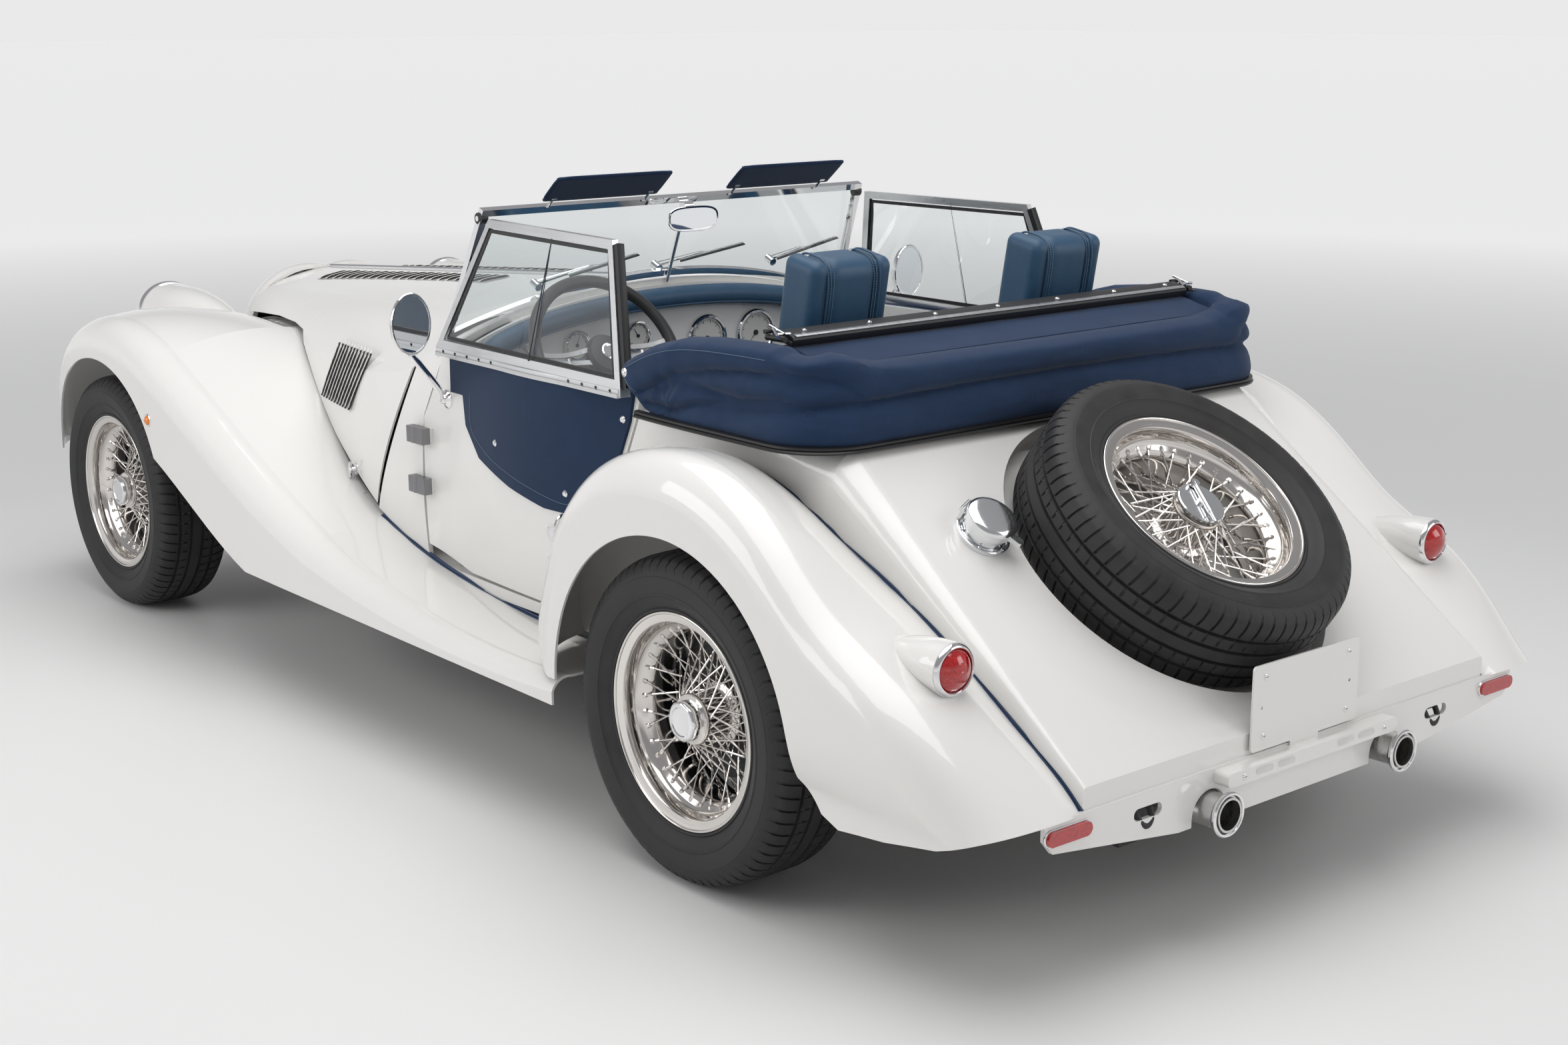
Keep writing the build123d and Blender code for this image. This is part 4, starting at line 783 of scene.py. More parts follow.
# %% [markdown]
# ## Tyres
# The tread has four long grooves and, in each 5-degree pitch, one slanting slot across each
# shoulder and a short cut into each rib. One pitch is modelled as a small grid, and 72 turns of
# it are welded into a whole tyre. The sidewall keeps two plain raised rings.

# %% Tread pitch
TREAD_TURNS = 72
GROOVES = (-47, -16, 16, 47)
GROOVE_HALF, GROOVE_DEPTH, GROOVE_WALL = 4.2, 6.5, 1.4
SHOULDER_SLOT, RIB_SLOT, EDGE_SLOT = 4.2, 3.2, 1.6
TREAD_RADIUS, TREAD_CROWN, SHOULDER_X, SHOULDER_DROP = 313.5, 0.00042, 60, 0.0105
TREAD_EDGES = {0, *(side * x for side in (1, -1) for x in (6, 25, 31, 37, 54, 60, 70, 78, 86))}
# where the columns stand within one pitch, and which of them carry the slot
COLUMNS = (0.0, 0.40, 0.435, 0.565, 0.60, 1.0)
SLOT_COLUMNS = (2, 3)
SIDEWALL = ((88, 300), (94, 293), (99, 283), (101.4, 277), (101.6, 275), (102.5, 274),
            (102.5, 268), (101.6, 262), (100.2, 250), (98.6, 243), (99.6, 241.5), (99.4, 239),
            (97.4, 237.5), (93, 228), (87.5, 219), (84, 214), (86, 212), (85, 208.5),
            (80, 206.5), (74, 206))
LINING = ((74, 206), (71, 190.5), (64, 190.5), (64, 206), (88, 250), (86, 285), (60, 300))


def tread_radius(x):
    shoulder = max(0.0, abs(x) - SHOULDER_X) ** 2 * SHOULDER_DROP
    return TREAD_RADIUS - TREAD_CROWN * x * x - shoulder


def tyre_profile():
    """(x, radius, slot depth) from one bead over the tread to the other."""
    tread = []
    for x in sorted(TREAD_EDGES | {g + s for g in GROOVES for s in (-GROOVE_HALF, GROOVE_HALF)}):
        in_rib = 23 < abs(x) < 33 or abs(abs(x) - (47 - GROOVE_HALF)) < 0.1
        slot = SHOULDER_SLOT if 53 < abs(x) < 87 else RIB_SLOT if in_rib else 0.0
        tread.append((x, tread_radius(x), slot))
        for g in GROOVES:
            if abs(x - (g - GROOVE_HALF)) < 0.1:
                foot, half = tread_radius(x) - GROOVE_DEPTH, GROOVE_HALF - GROOVE_WALL
                tread += [(g - half, foot, 0.0), (g + half, foot, 0.0)]
    right = [(x, r, EDGE_SLOT if r > 290 else 0.0) for x, r in SIDEWALL]
    return [(-x, r, s) for x, r, s in reversed(right)] + tread + right


def tread_pitch():
    profile, step = tyre_profile(), 2 * math.pi / TREAD_TURNS
    points = []
    for c, share in enumerate(COLUMNS):
        for x, r, slot in profile:
            slant = 0.00055 * (abs(x) - 50) if 50 < abs(x) < 95 else 0.0
            turn, depth = share * step + slant, slot if c in SLOT_COLUMNS else 0.0
            points.append((x, (r - depth) * math.cos(turn), (r - depth) * math.sin(turn)))
    return raw_mesh(points, bands(len(COLUMNS), len(profile), closed=False))


# %% Build one tyre
outside = around(tread_pitch(), TREAD_TURNS, rubber, weld=0.00002, angle=35)
inside = list(LINING) + [(-x, r) for x, r in reversed(LINING)]
lining = lathe(inside, rubber, steps=TREAD_TURNS, closed=False)
TYRE = finish_mesh(join([outside, lining]), None, 32)
print("one tyre has", len(TYRE.polygons), "faces")

# %% [markdown]
# ## Wheels at the four corners, and the spare
# The same wheel goes to each corner, turned about the upright axis on the right-hand side. The
# spare lies on the sloping tail, face out, held by a round plate and a cross bar.

# %% Place the wheels
AXLE_HEIGHT = 313.5
CORNERS = (("front_left", 693.0, -1450.0), ("front_right", -693.0, -1450.0),
           ("rear_left", 698.0, 1070.0), ("rear_right", -698.0, 1070.0))
for corner, x, y in CORNERS:
    carry = shift((x, y, AXLE_HEIGHT))
    if x < 0:
        carry = carry @ spin(180, "Z")
    body = f"wheel_{corner}"
    piece(f"wire_wheel_{corner}", moved(WHEEL, carry), body, [body])
    piece(f"tyre_dressed_{corner}", moved(TYRE, carry), body, [f"tyre_{corner}"])
print("wheels at the corners", len(CORNERS))

# %% Place the spare
DECK_SLOPE = math.radians(37.15)
DECK_UP = Vector((0, math.sin(DECK_SLOPE), math.cos(DECK_SLOPE)))
DECK_DOWN = Vector((0, math.cos(DECK_SLOPE), -math.sin(DECK_SLOPE)))
TYRE_WIDTH, WELL_DEPTH = 205, 46.5
SPARE_CENTRE = Vector((0, 1543.2, 605)) + DECK_UP * (TYRE_WIDTH / 2 - WELL_DEPTH)
SPARE = shift(SPARE_CENTRE) @ Matrix((DECK_UP, DECK_DOWN, (-1, 0, 0))).transposed().to_4x4()
# round clamp plate, then the centre boss and the T-shaped bar, in the wheel's own frame
CLAMP_PLATE = [(64, 0.1), (64, 46), (66, 48), (71, 48), (73, 46), (73, 0.1)]
CLAMP_BAR = [((72, 0, 0), (79, 0, 0), 10, 24), ((79, -42, 12), (81, 30, -9), 5.5, 16),
             ((81, 26, -8), (80, 52, -14), 4.0, 12, 3.2), ((75, -40, 11), (84, -40, 11), 8.5, 16)]
clamp = join([lathe(CLAMP_PLATE, polished, 64, False), rods(CLAMP_BAR, chrome, 40)], angle=40)
piece("spare_wire_wheel", moved(join(BARE_PARTS, angle=40), SPARE), "body",
      ["spare_wheel"])
piece("spare_tyre_dressed", moved(TYRE, SPARE), "body", ["spare_tyre"])
piece("spare_clamp", moved(clamp, SPARE), "body")
print("spare set")

# %% [markdown]
# ## Folded hood
# The hood lies in a U behind the seats. Its outside is a height field: `run` is the distance
# along the U, and each crease line pulls the cloth in, so the rolls and the bunched folds at
# the front ends puff out between them. The cloth hangs over each crease a little.

# %% Creases and edges
HOOD_X, HOOD_Y, HOOD_CORNER, HOOD_FRONT = 602.0, 1240.0, 84.0, 700.0
SIDE_RUN = HOOD_Y - HOOD_CORNER - HOOD_FRONT
CORNER_RUN = SIDE_RUN + HOOD_CORNER * math.pi / 2
HALF_RUN = CORNER_RUN + HOOD_X - HOOD_CORNER
HOOD_ROWS, CLOSE_STEP, WIDE_STEP, CLOSE_RUN = 46, 5.0, 13.0, 660
# each crease: (run, height) points on the left half, the right half mirrors it
CREASES = (
    ((40, 862), (100, 886), (169, 914), (270, 937), (378, 948), (450, 950), (491, 947)),
    ((110, 884), (169, 907), (270, 899), (367, 891), (430, 898), (470, 903)),
    ((60, 846), (110, 851), (150, 847), (200, 858), (236, 868), (367, 884), (480, 896),
     (588, 902), (720, 906), (907, 909), (1106, 910)),
    ((447, 988), (464, 972), (488, 954), (520, 951)),
    ((575, 985), (596, 968), (640, 962)),
    ((520, 951), (548, 944), (570, 930)),
)
LONG_CREASES = 3
REACH_ABOVE, REACH_BELOW, SHORT_REACH, SHORT_DEPTH = 9.0, 16.0, 1.5, 0.55
FLAT_OUT, FULL_OUT, SEAM = 20, 47, 3
LOW_EDGE = ((0, 892), (16, 874), (40, 857), (62, 838), (92, 829), (150, 827), (1106, 826))
HIGH_EDGE = ((0, 908), (10, 918), (37, 931), (100, 956), (171, 974), (260, 984), (389, 988),
             (440, 987), (466, 978), (505, 974), (548, 983), (585, 976), (610, 966), (656, 958),
             (1106, 957))
INNER_EDGE = ((0, 22), (56, 20), (120, -44), (1106, -44))

print("creases", len(CREASES), "over a run of", round(2 * HALF_RUN), "mm")

# %% Hood cloth


def between(table, at):
    """Straight-line lookup in a table of (input, value) rows."""
    for (a, p), (b, q) in zip(table, table[1:]):
        if at <= b:
            return p + (q - p) * max(0.0, at - a) / (b - a)
    return table[-1][1]


def hood_place(run, out):
    """Plan position at a distance along the U, moved outwards."""
    turn = 1
    if run > HALF_RUN:
        run, turn = 2 * HALF_RUN - run, -1
    core_x, core_y = HOOD_X - HOOD_CORNER, HOOD_Y - HOOD_CORNER
    if run <= SIDE_RUN:
        x, y = HOOD_X + out, HOOD_FRONT + run
    elif run <= CORNER_RUN:
        a, reach = (run - SIDE_RUN) / HOOD_CORNER, HOOD_CORNER + out
        x, y = core_x + reach * math.cos(a), core_y + reach * math.sin(a)
    else:
        x, y = core_x - (run - CORNER_RUN), HOOD_Y + out
    return turn * x, y


def crease_gap(run, height, line):
    """Distance to a crease, and on which side: above is positive."""
    best, side = 1e9, 1
    for (a, p), (b, q) in zip(line, line[1:]):
        if run < a - 60 or run > b + 60:
            continue
        t = ((run - a) * (b - a) + (height - p) * (q - p)) / ((b - a) ** 2 + (q - p) ** 2)
        t = max(0.0, min(1.0, t))
        gap = math.hypot(run - a - t * (b - a), height - p - t * (q - p))
        if gap < best:
            above = (height - p) * (b - a) - (q - p) * (run - a) > 0
            best, side = gap, 1 if above else -1
    return best, side


def hood_out(run, height, low, high):
    """How far outwards the cloth stands."""
    near = min(run, 2 * HALF_RUN - run)
    swell = 1.0
    for k, line in enumerate(CREASES):
        gap, side = crease_gap(near, height, line)
        reach, depth, fade = REACH_ABOVE if side > 0 else REACH_BELOW, 1.0, 1.0
        if k < LONG_CREASES:
            fade = min(1.0, max(0.0, (near - line[0][0] + 12) / 30))
        else:
            reach, depth = reach * SHORT_REACH, SHORT_DEPTH
        swell -= depth * math.exp(-gap / reach) * fade
    top = 1 - math.exp(-max(0.0, high - height) / 7.0)
    foot = 1 - math.exp(-max(0.0, height - low) / 9.0)
    front = min(1.0, near / 120)
    full = FULL_OUT - (height - 850) * 0.05
    spot = Vector((run * 0.008, height * 0.02, 3.0))
    wave = noise.noise(spot) * 3.0 + noise.noise(spot * 3.1) * 1.2
    reach, way = math.hypot(near - 150, height - 850), math.atan2(height - 850, near - 150)
    pinch = math.exp(-reach / 90) * math.sin(way * 9)
    puff = (full - FLAT_OUT - SEAM) * max(0.04, swell) * (0.55 + 0.45 * top) * (0.5 + 0.5 * foot)
    return FLAT_OUT + puff * (0.72 + 0.28 * front) + wave * min(1.0, 0.25 + front) + pinch * 1.6


def hood_mesh():
    runs, at = [], 0.0
    while at < HALF_RUN:
        runs.append(at)
        at += CLOSE_STEP if at < CLOSE_RUN else WIDE_STEP
    runs, points = runs + [2 * HALF_RUN - r for r in reversed(runs)], []
    for run in runs:
        near = min(run, 2 * HALF_RUN - run)
        low, high, inner = (between(t, near) for t in (LOW_EDGE, HIGH_EDGE, INNER_EDGE))
        heights = [low + (high - low) * k / HOOD_ROWS for k in range(HOOD_ROWS + 1)]
        ring = [(hood_out(run, height, low, high), height) for height in heights]
        last = ring[-1][0]
        lean = min(9.0, (last - inner) * 0.25)
        ring += [(last + (inner - last) * t, high + lean * math.sin(math.pi * t) + 2 * t)
                 for t in (0.12, 0.3, 0.55, 0.8)]
        ring += [(inner, high - 3), (inner, (high + low) / 2), (inner, low),
                 (inner * 0.5 + 8, low - 1)]
        points += [(*hood_place(run, out), height) for out, height in ring]
    return to_mesh((points, bands(len(runs), len(ring))), hood_cloth, 60)


# %% Folded layers
STACK_BACK = [(1204, 824), (1204, 950), (1203, 964), (1180, 969), (1150, 975), (1128, 982),
              (1108, 986), (1076, 987)]
STACK_FOLD = ((1068, -2), (1063.5, -9), (1062.5, -16), (1065, -24), (1071, -30))
STACK_LAYERS, STACK_TOP, STACK_PITCH, STACK_FOOT = 5, 984, 32, 824
STACK_HALF, STACK_STEPS, STACK_MIDDLE = 556, 74, 1134


def stack_mesh():
    """The layers of cloth that lie folded between the rolls and the header rail."""
    profile = STACK_BACK + [(y, STACK_TOP - STACK_PITCH * k + z)
                            for k in range(STACK_LAYERS) for y, z in STACK_FOLD]
    profile += [(1072, STACK_FOOT)]
    points = []
    for i in range(STACK_STEPS + 1):
        x = -STACK_HALF + 2 * STACK_HALF * i / STACK_STEPS
        end = min(1.0, (STACK_HALF - abs(x)) / 15)
        tuck = 1 - 0.16 * (1 - end) ** 2
        for y, z in profile:
            wave = noise.noise(Vector((x * 0.009, y * 0.02, z * 0.02))) * 2.6 * end
            points.append((x, STACK_MIDDLE + (y - STACK_MIDDLE) * tuck + wave,
                           STACK_FOOT + (z - STACK_FOOT) * tuck + wave * 0.7 * (z > 830)))
    return to_mesh((points, bands(STACK_STEPS + 1, len(profile))), hood_cloth, 50)


hood = hood_mesh()
piece("folded_hood_rolls", hood, "body", ("soft_top",))
piece("folded_hood_layers", stack_mesh(), "body")
print("hood faces", len(hood.polygons))

# %% [markdown]
# ## Hood edge, stitches and studs
# A hem is stitched along the border of each front flap, and a domed stud holds its tip. A
# rubber strip with a raised lip runs along the foot of the cloth.

# %% Stitches


def stitch_mesh(length=3.4, radius=0.55):
    return rods([((0, 0, -length / 2), (0, 0, length / 2), radius, 5)], thread, 60)


def on_hood(run, height, lift=0.8):
    near = min(run, 2 * HALF_RUN - run)
    out = hood_out(run, height, between(LOW_EDGE, near), between(HIGH_EDGE, near))
    return Vector((*hood_place(run, out + lift), height))


def spaced(line, pitch):
    """Places every pitch along a line of points, with a turn that lays Z along it."""
    spots, left = [], 0.0
    for a, b in zip(line, line[1:]):
        length = (b - a).length
        while left < length:
            turn = (b - a).to_track_quat("Z", "Y").to_matrix()
            spots.append((a + (b - a) * (left / length), turn))
            left += pitch
        left -= length
    return spots


# %% Hem, studs and edge rubber
HEM_INSET, HEM_PITCH = 11, 5.2
top_hem = [(at, between(HIGH_EDGE, at) - HEM_INSET, 0) for at in (12, 37, 100, 171, 260, 360, 436)]
border = smooth_line([(44, 868, 0), (24, 884, 0), (12, 899, 0)], 8)[:-1] + smooth_line(top_hem, 16)
hem = spaced([on_hood(p.x, p.y) for p in border], HEM_PITCH)
hem += spaced([on_hood(2 * HALF_RUN - p.x, p.y) for p in border], HEM_PITCH)
piece("hood_hem_stitches", on_points(stitch_mesh(), hem, thread), "body")

# a domed stud on a rolled ring, facing X
SNAP_STUD = [(-1, 0.1), (-1, 9), (0.8, 9), (1.8, 8.37), (2.2, 7.38), (1.6, 6.66), (1.6, 5.4),
             (3.4, 4.5), (4.6, 2.7), (5.0, 0.1)]
STUD_RUN, STUD_HEIGHT = 16, 901
left_stud = shift(on_hood(STUD_RUN, STUD_HEIGHT, -0.4))
right_stud = shift(on_hood(2 * HALF_RUN - STUD_RUN, STUD_HEIGHT, -0.4)) @ spin(180, "Z")
flap_stud = lathe(SNAP_STUD, chrome, 32)
piece("hood_flap_studs", [moved(flap_stud, left_stud), moved(flap_stud, right_stud)], "body")

EDGE_START, EDGE_STATIONS, EDGE_OUT = 56, 200, 36
EDGE_SEAL = [(-9, -6), (9, -6), (10.5, -3), (9, -0.5), (6.5, 0.5), (8.5, 2.5), (8, 6), (3, 8),
             (-4, 8), (-9, 4)]
edge_line = []
for i in range(EDGE_STATIONS + 1):
    run = EDGE_START + 2 * (HALF_RUN - EDGE_START) * i / EDGE_STATIONS
    rise = 6 * math.exp(-min(run, 2 * HALF_RUN - run) / 90)
    edge_line.append((*hood_place(run, EDGE_OUT), 822.5 + rise))
piece("hood_edge_rubber", sweep(edge_line, EDGE_SEAL, edge_rubber, angle=50), "body")
print("edge strip", len(edge_line), "stations")

# %% [markdown]
# ## Header rail of the hood
# The rail that meets the windscreen when the hood is up: a black moulding with a bright strip
# and studs, and an over-centre latch at each end.

# %% Header rail
RAIL = shift((0, 1090, 1002)) @ spin(-15, "X")
RAIL_BODY = [(21, -9), (-21, -9), (-23, -6), (-23, 4), (-20, 8), (-12, 9.6), (14, 9.6), (20, 8),
             (23, 4), (23, -6)]
RAIL_STRIP = [(-10.5, 9), (-21.8, 9), (-22.6, 10.6), (-20, 11.6), (-12, 11.6), (-10.5, 10.6)]
RAIL_STUD = [(0, 0.1), (0, 5), (1.5, 5), (3.4, 3.4), (4, 0.1)]
# latch rods, their X measured from the rail's end: start, end, radius, sides
LATCH_PLATE = (((-16, -24, -4), (-16, 22, -4), 5, 8), ((-16, -24, 6), (16, -24, 6), 4.5, 8),
               ((6, -26, -6), (6, 24, 8), 6, 8))
LATCH_LEVER = (((-8, -30, 10), (22, 20, 13), 3.4, 10), ((-20, 4, 10), (14, 4, 12), 3, 10),
               ((-4, -36, 12), (-4, 8, 12), 2.4, 10))

rail = [sweep([(-545, 0, 0), (545, 0, 0)], RAIL_BODY, black_trim),
        sweep([(-538, 0, 0), (538, 0, 0)], RAIL_STRIP, alloy)]
rail += [moved(lathe(RAIL_STUD, chrome, 20), shift((x, -2, 9.4)) @ spin(-90, "Y"))
         for x in (-500, -340, -170, 0, 170, 340, 500)]
piece("hood_header_rail", moved(join(rail), RAIL), "body", ("hood_rail",))
latches = []
for side, _ in SIDES:
    for rows, finish, angle in ((LATCH_PLATE, black_trim, 35), (LATCH_LEVER, chrome, 50)):
        rows = [(*(Vector(p) + Vector((side * 560, 0, 0)) for p in row[:2]), *row[2:])
                for row in rows]
        latches.append(moved(rods(rows, finish, angle), RAIL))
piece("hood_latches", latches, "body")
print("header rail set")

# %% [markdown]
# ## Seats
# Each seat has a base and a squab with side rolls and a stitched centre, and a headrest on two
# chrome posts: a wrap in the middle and a cap with piping at each end.

# %% Cushion shape


def pillow(half, soft, finish, crown=0.0, panels=(), steps=(20, 16, 8), groove=2.4):
    """A rounded block about the origin: half sizes (x, y, z), corner radius soft. The face
    towards +Z is crowned, and is grooved along the given x or y lines."""
    points, faces, index = [], [], {}

    def corner(*spot):
        if spot not in index:
            p = Vector([(2 * a / n - 1) for a, n in zip(spot, steps)])
            q = Vector([c * h for c, h in zip(p, half)])
            core = Vector([max(-(h - soft), min(h - soft, c)) for c, h in zip(q, half)])
            away = q - core
            if away.length > soft:
                q = core + away.normalized() * soft
            if p.z > 0:
                rise = crown * (1 - p.x ** 2) * (1 - p.y ** 2)
                for axis, at in panels:
                    rise -= groove * math.exp(-((q[axis] - at) / 4.0) ** 2)
                q.z += rise * p.z
            index[spot] = len(points)
            points.append(q)
        return index[spot]

    for u, v, w in ((0, 1, 2), (0, 2, 1), (1, 2, 0)):
        for s in range(steps[u]):
            for t in range(steps[v]):
                for end in (0, steps[w]):
                    quad = [{u: s + a, v: t + b, w: end}
                            for a, b in ((0, 0), (1, 0), (1, 1), (0, 1))]
                    faces.append([corner(spot[0], spot[1], spot[2]) for spot in quad])
    return to_mesh((points, faces), finish, 60)


# %% Seats
SEAT_X, REST_X = 312, 300
SEAT_LINES = [(0, -118), (0, 118)]
SQUAB_FLUTES = [(1, v) for v in (-120, -60, 0, 60, 120)]
BASE_FLUTES = [(1, v) for v in (-140, -70, 0, 70)]
squab = pillow((204, 268, 46), 34, leather, 14, SEAT_LINES + SQUAB_FLUTES, (44, 52, 8))
base = pillow((204, 236, 84), 36, leather, 12, SEAT_LINES + BASE_FLUTES, (44, 48, 8))
for side, half in SIDES:
    x = side * SEAT_X
    cushions = [moved(squab, shift((x, 935, 646)) @ spin(78, "X")),
                moved(base, shift((x, 585, 332)) @ spin(-3, "X"))]
    piece(f"seat_cushions_{half}", cushions, "body",
          ("seats",) if side > 0 else ())

print("seats, each squab with", len(squab.polygons), "faces")

# %% Headrests
wrap = pillow((66, 92, 51), 34, leather, 3, (), (14, 30, 16))
cap = pillow((22, 90, 49), 21, leather, 2, (), (12, 30, 16))
PIPING_AT, SEAMS_AT, REST_POWER = 66, (58, 51), 3.4
rests, stitches, posts = [], [], []
for side, _ in SIDES:
    carry = shift((side * REST_X, 944, 1036)) @ spin(80, "X")
    rests.append(moved(wrap, carry))
    rests += [moved(cap, carry @ shift((end * 79.5, 0, 0))) for end in (-1, 1)]
    for end in (-1, 1):
        for at in (PIPING_AT, *SEAMS_AT):
            line = [carried(carry, (end * at, 93 * oval(c, s, REST_POWER) * c,
                                    52.5 * oval(c, s, REST_POWER) * s)) for c, s in turns(96)]
            if at == PIPING_AT:
                rests.append(sweep(line, circle(2.1, 8), leather, (1, 0, 0), True, 60))
            else:
                stitches += spaced(line + line[:1], 5.0)
    posts += [((side * REST_X + at, 972, 880), (side * REST_X + at, 952, 960), 5.5, 12)
              for at in (-45, 45)]
piece("headrests", rests, "body")
piece("headrest_stitches", on_points(stitch_mesh(3.2, 0.6), stitches, thread), "body")
piece("headrest_posts", rods(posts, chrome), "body")
print("stitches on the headrests", len(stitches))

# %% [markdown]
# ## Finding the surface
# Small parts sit on the coachwork wherever it is. `touch` shoots a ray at named nodes and
# gives the place and the outward normal, in millimetres. `set_on` carries a part there.

# %% Surface helpers
SURFACES = {}
FAR_SIDE, FAR_BACK, FAR_ABOVE = 900, 2400, 1400
SCAN_FROM, SCAN_TO, SCAN_STEP = 800.0, 300, 3.0


def surface(name):
    if name not in SURFACES:
        node = NODES[name]
        points = [node.matrix_world @ v.co * METRE for v in node.data.vertices]
        faces = [tuple(p.vertices) for p in node.data.polygons]
        SURFACES[name] = BVHTree.FromPolygons(points, faces)
    return SURFACES[name]


def touch(names, start, direction):
    best, direction = None, Vector(direction).normalized()
    for name in names.split():
        place, normal, _, gap = surface(name).ray_cast(Vector(start), direction)
        if place is not None and (best is None or gap < best[2]):
            best = (place, -normal if normal.dot(direction) > 0 else normal, gap)
    return best


def flank(names, side, y, z):
    return touch(names, (side * FAR_SIDE, y, z), (-side, 0, 0))


def behind(names, x, z):
    return touch(names, (x, FAR_BACK, z), (0, -1, 0))


def above(names, x, y):
    return touch(names, (x, y, FAR_ABOVE), (0, 0, -1))


def set_on(mesh, hit, up=(0, 0, 1)):
    """Carry a part drawn with local Z outwards to a place that touch found."""
    return moved(mesh, shift(hit[0]) @ facing(hit[1], up).to_4x4())


def wing_joint(wing, stations):
    """Inner edge of a wing, where it meets the body, at each y: the last touch on the way in."""
    line = []
    for y in stations:
        x, last = SCAN_FROM, None
        while x > SCAN_TO:
            hit = above(wing, x, y)
            if hit:
                last = hit[0]
            elif last is not None:
                break
            x -= SCAN_STEP
        if last is not None:
            line.append(last + Vector((-1, 0, 1)))
    return line


def smoothed(line, rounds=3):
    for _ in range(rounds):
        middle = [(a + b * 2 + c) / 4 for a, b, c in zip(line, line[1:], line[2:])]
        line = [line[0]] + middle + [line[-1]]
    return line


# %% [markdown]
# ## Beading and joints
# Navy beading with two ridges fills the joints between the wings and the body. Ahead of the
# scuttle the front joint is a bare dark line. A flange inside each wing closes the gap to the
# bonnet and the scuttle, and a ledge behind the doors closes it to the sill.

# %% Joint lines
TWIN = [(-6.5, -4), (6.5, -4), (7, 0), (5.6, 3), (3.2, 3.8), (1, 2.6), (0, 1.2), (-1, 2.6),
        (-3.2, 3.8), (-5.6, 3), (-7, 0)]
STRIP_FACES = [(0, 1, 2, 3), (7, 6, 5, 4), (0, 4, 5, 1), (1, 5, 6, 2), (2, 6, 7, 3), (3, 7, 4, 0)]
SCUTTLE_Y, BARE_END_Y, FRONT_BEAD_END_Y = -113, -345, 385
SILL_RANGE, LEDGE_REACH, LEDGE_FOOT = (-200, 486), 41, 404
LAP = Vector((7, 0, -3.5))
rear_joint = smoothed(wing_joint("rear_wings", [742 + 10 * k for k in range(113)]))
front_edge = smoothed(wing_joint("front_wings", [-1690 + 12 * k for k in range(172)]), 2)
ahead = [p for p in front_edge if p.y <= SCUTTLE_Y]
inner = []
for edge in ahead:
    hit = touch("bonnet_left scuttle radiator_cowl", edge + Vector((3, 0, 3)), (-1, 0, 0))
    x = max(hit[0].x + 2, edge.x - 160) if hit else edge.x - 40
    inner.append(Vector((x, edge.y, edge.z)))
inner = smoothed(inner, 2)


def strip(near, far):
    """Thin closed bands between two lines with the same stations."""
    rise, shapes = Vector((0, 0, 2)), []
    for a, b, c, d in zip(near, near[1:], far, far[1:]):
        ring = [a, b, d, c]
        points = [p - rise for p in ring] + [p - rise * 0.3 for p in ring]
        shapes.append((points, STRIP_FACES))
    return shapes


# %% Flanges, beads and seals
sill = [p for p in front_edge if SILL_RANGE[0] < p.y < SILL_RANGE[1]]
ledge = [Vector((p.x - LEDGE_REACH, p.y, p.z - 2)) for p in sill]
flange = strip([p + LAP for p in ahead], inner) + strip([p + LAP for p in sill], ledge)
for a, b in zip(ledge, ledge[1:]):
    wall = [a, b, Vector((b.x, b.y, LEDGE_FOOT)), Vector((a.x, a.y, LEDGE_FOOT))]
    flange.append((wall + [p + Vector((-1.6, 0, 0)) for p in wall], STRIP_FACES))
piece("wing_inner_flanges", both(to_mesh(group(flange), paint)), "body")
bare_joint = smoothed([p for p in inner if p.y <= BARE_END_Y], 5)
front_joint = smoothed([p for p in front_edge if BARE_END_Y < p.y < FRONT_BEAD_END_Y], 5)
beads = [both(sweep(line, TWIN, beading, up, angle=70))
         for line, up in ((rear_joint, (0.5, 0, 0.87)), (front_joint, (0.6, 0, 0.8)))]
piece("wing_beading", beads, "body")
piece("wing_joint_seals", both(sweep(bare_joint, circle(3.2, 8), edge_rubber, angle=60)), "body")
print("rear joint has", len(rear_joint), "stations")

# %% [markdown]
# ## Bonnet louvres, catches and centre strip
# Each side of the bonnet has slanted louvres, and the top has two rows. A louvre is a raised
# blister, open on its rear edge, over a black rod that stands for the shade in the opening: a
# painted shade. A bright strip covers the centre hinge.

# %% Louvres
LOUVRE_ROWS, LOUVRE_COLUMNS, LOUVRE_SKIN = 16, 8, 1.2
HALF_TURN = Matrix.Rotation(math.pi, 3, "Z")


def louvre_mesh(length, width, rise):
    """A blister along local Y, open towards +X."""
    points = []
    for skin in (0.0, LOUVRE_SKIN):
        for i in range(LOUVRE_ROWS + 1):
            v = -1 + 2 * i / LOUVRE_ROWS
            end = max(0.0, 1 - abs(v) ** 5)
            for k in range(LOUVRE_COLUMNS + 1):
                t = k / LOUVRE_COLUMNS
                height = (rise * math.sin(t * math.pi / 2) ** 1.4 - skin) * end
                points.append((width * (t - 0.5), length / 2 * v, max(height, -0.6 - skin)))
    return to_mesh((points, slab(LOUVRE_ROWS + 1, LOUVRE_COLUMNS + 1)), paint, 50)


# a black rod under the open edge of a louvre: painted shade in the opening
def louvre_shade_rod(length, back):
    ends = ((0, -length / 2 + 3, 0), (0, length / 2 - 3, 0))
    return moved(rods([(*ends, 2.5, 8)], edge_rubber), shift((back, 0, 1)))


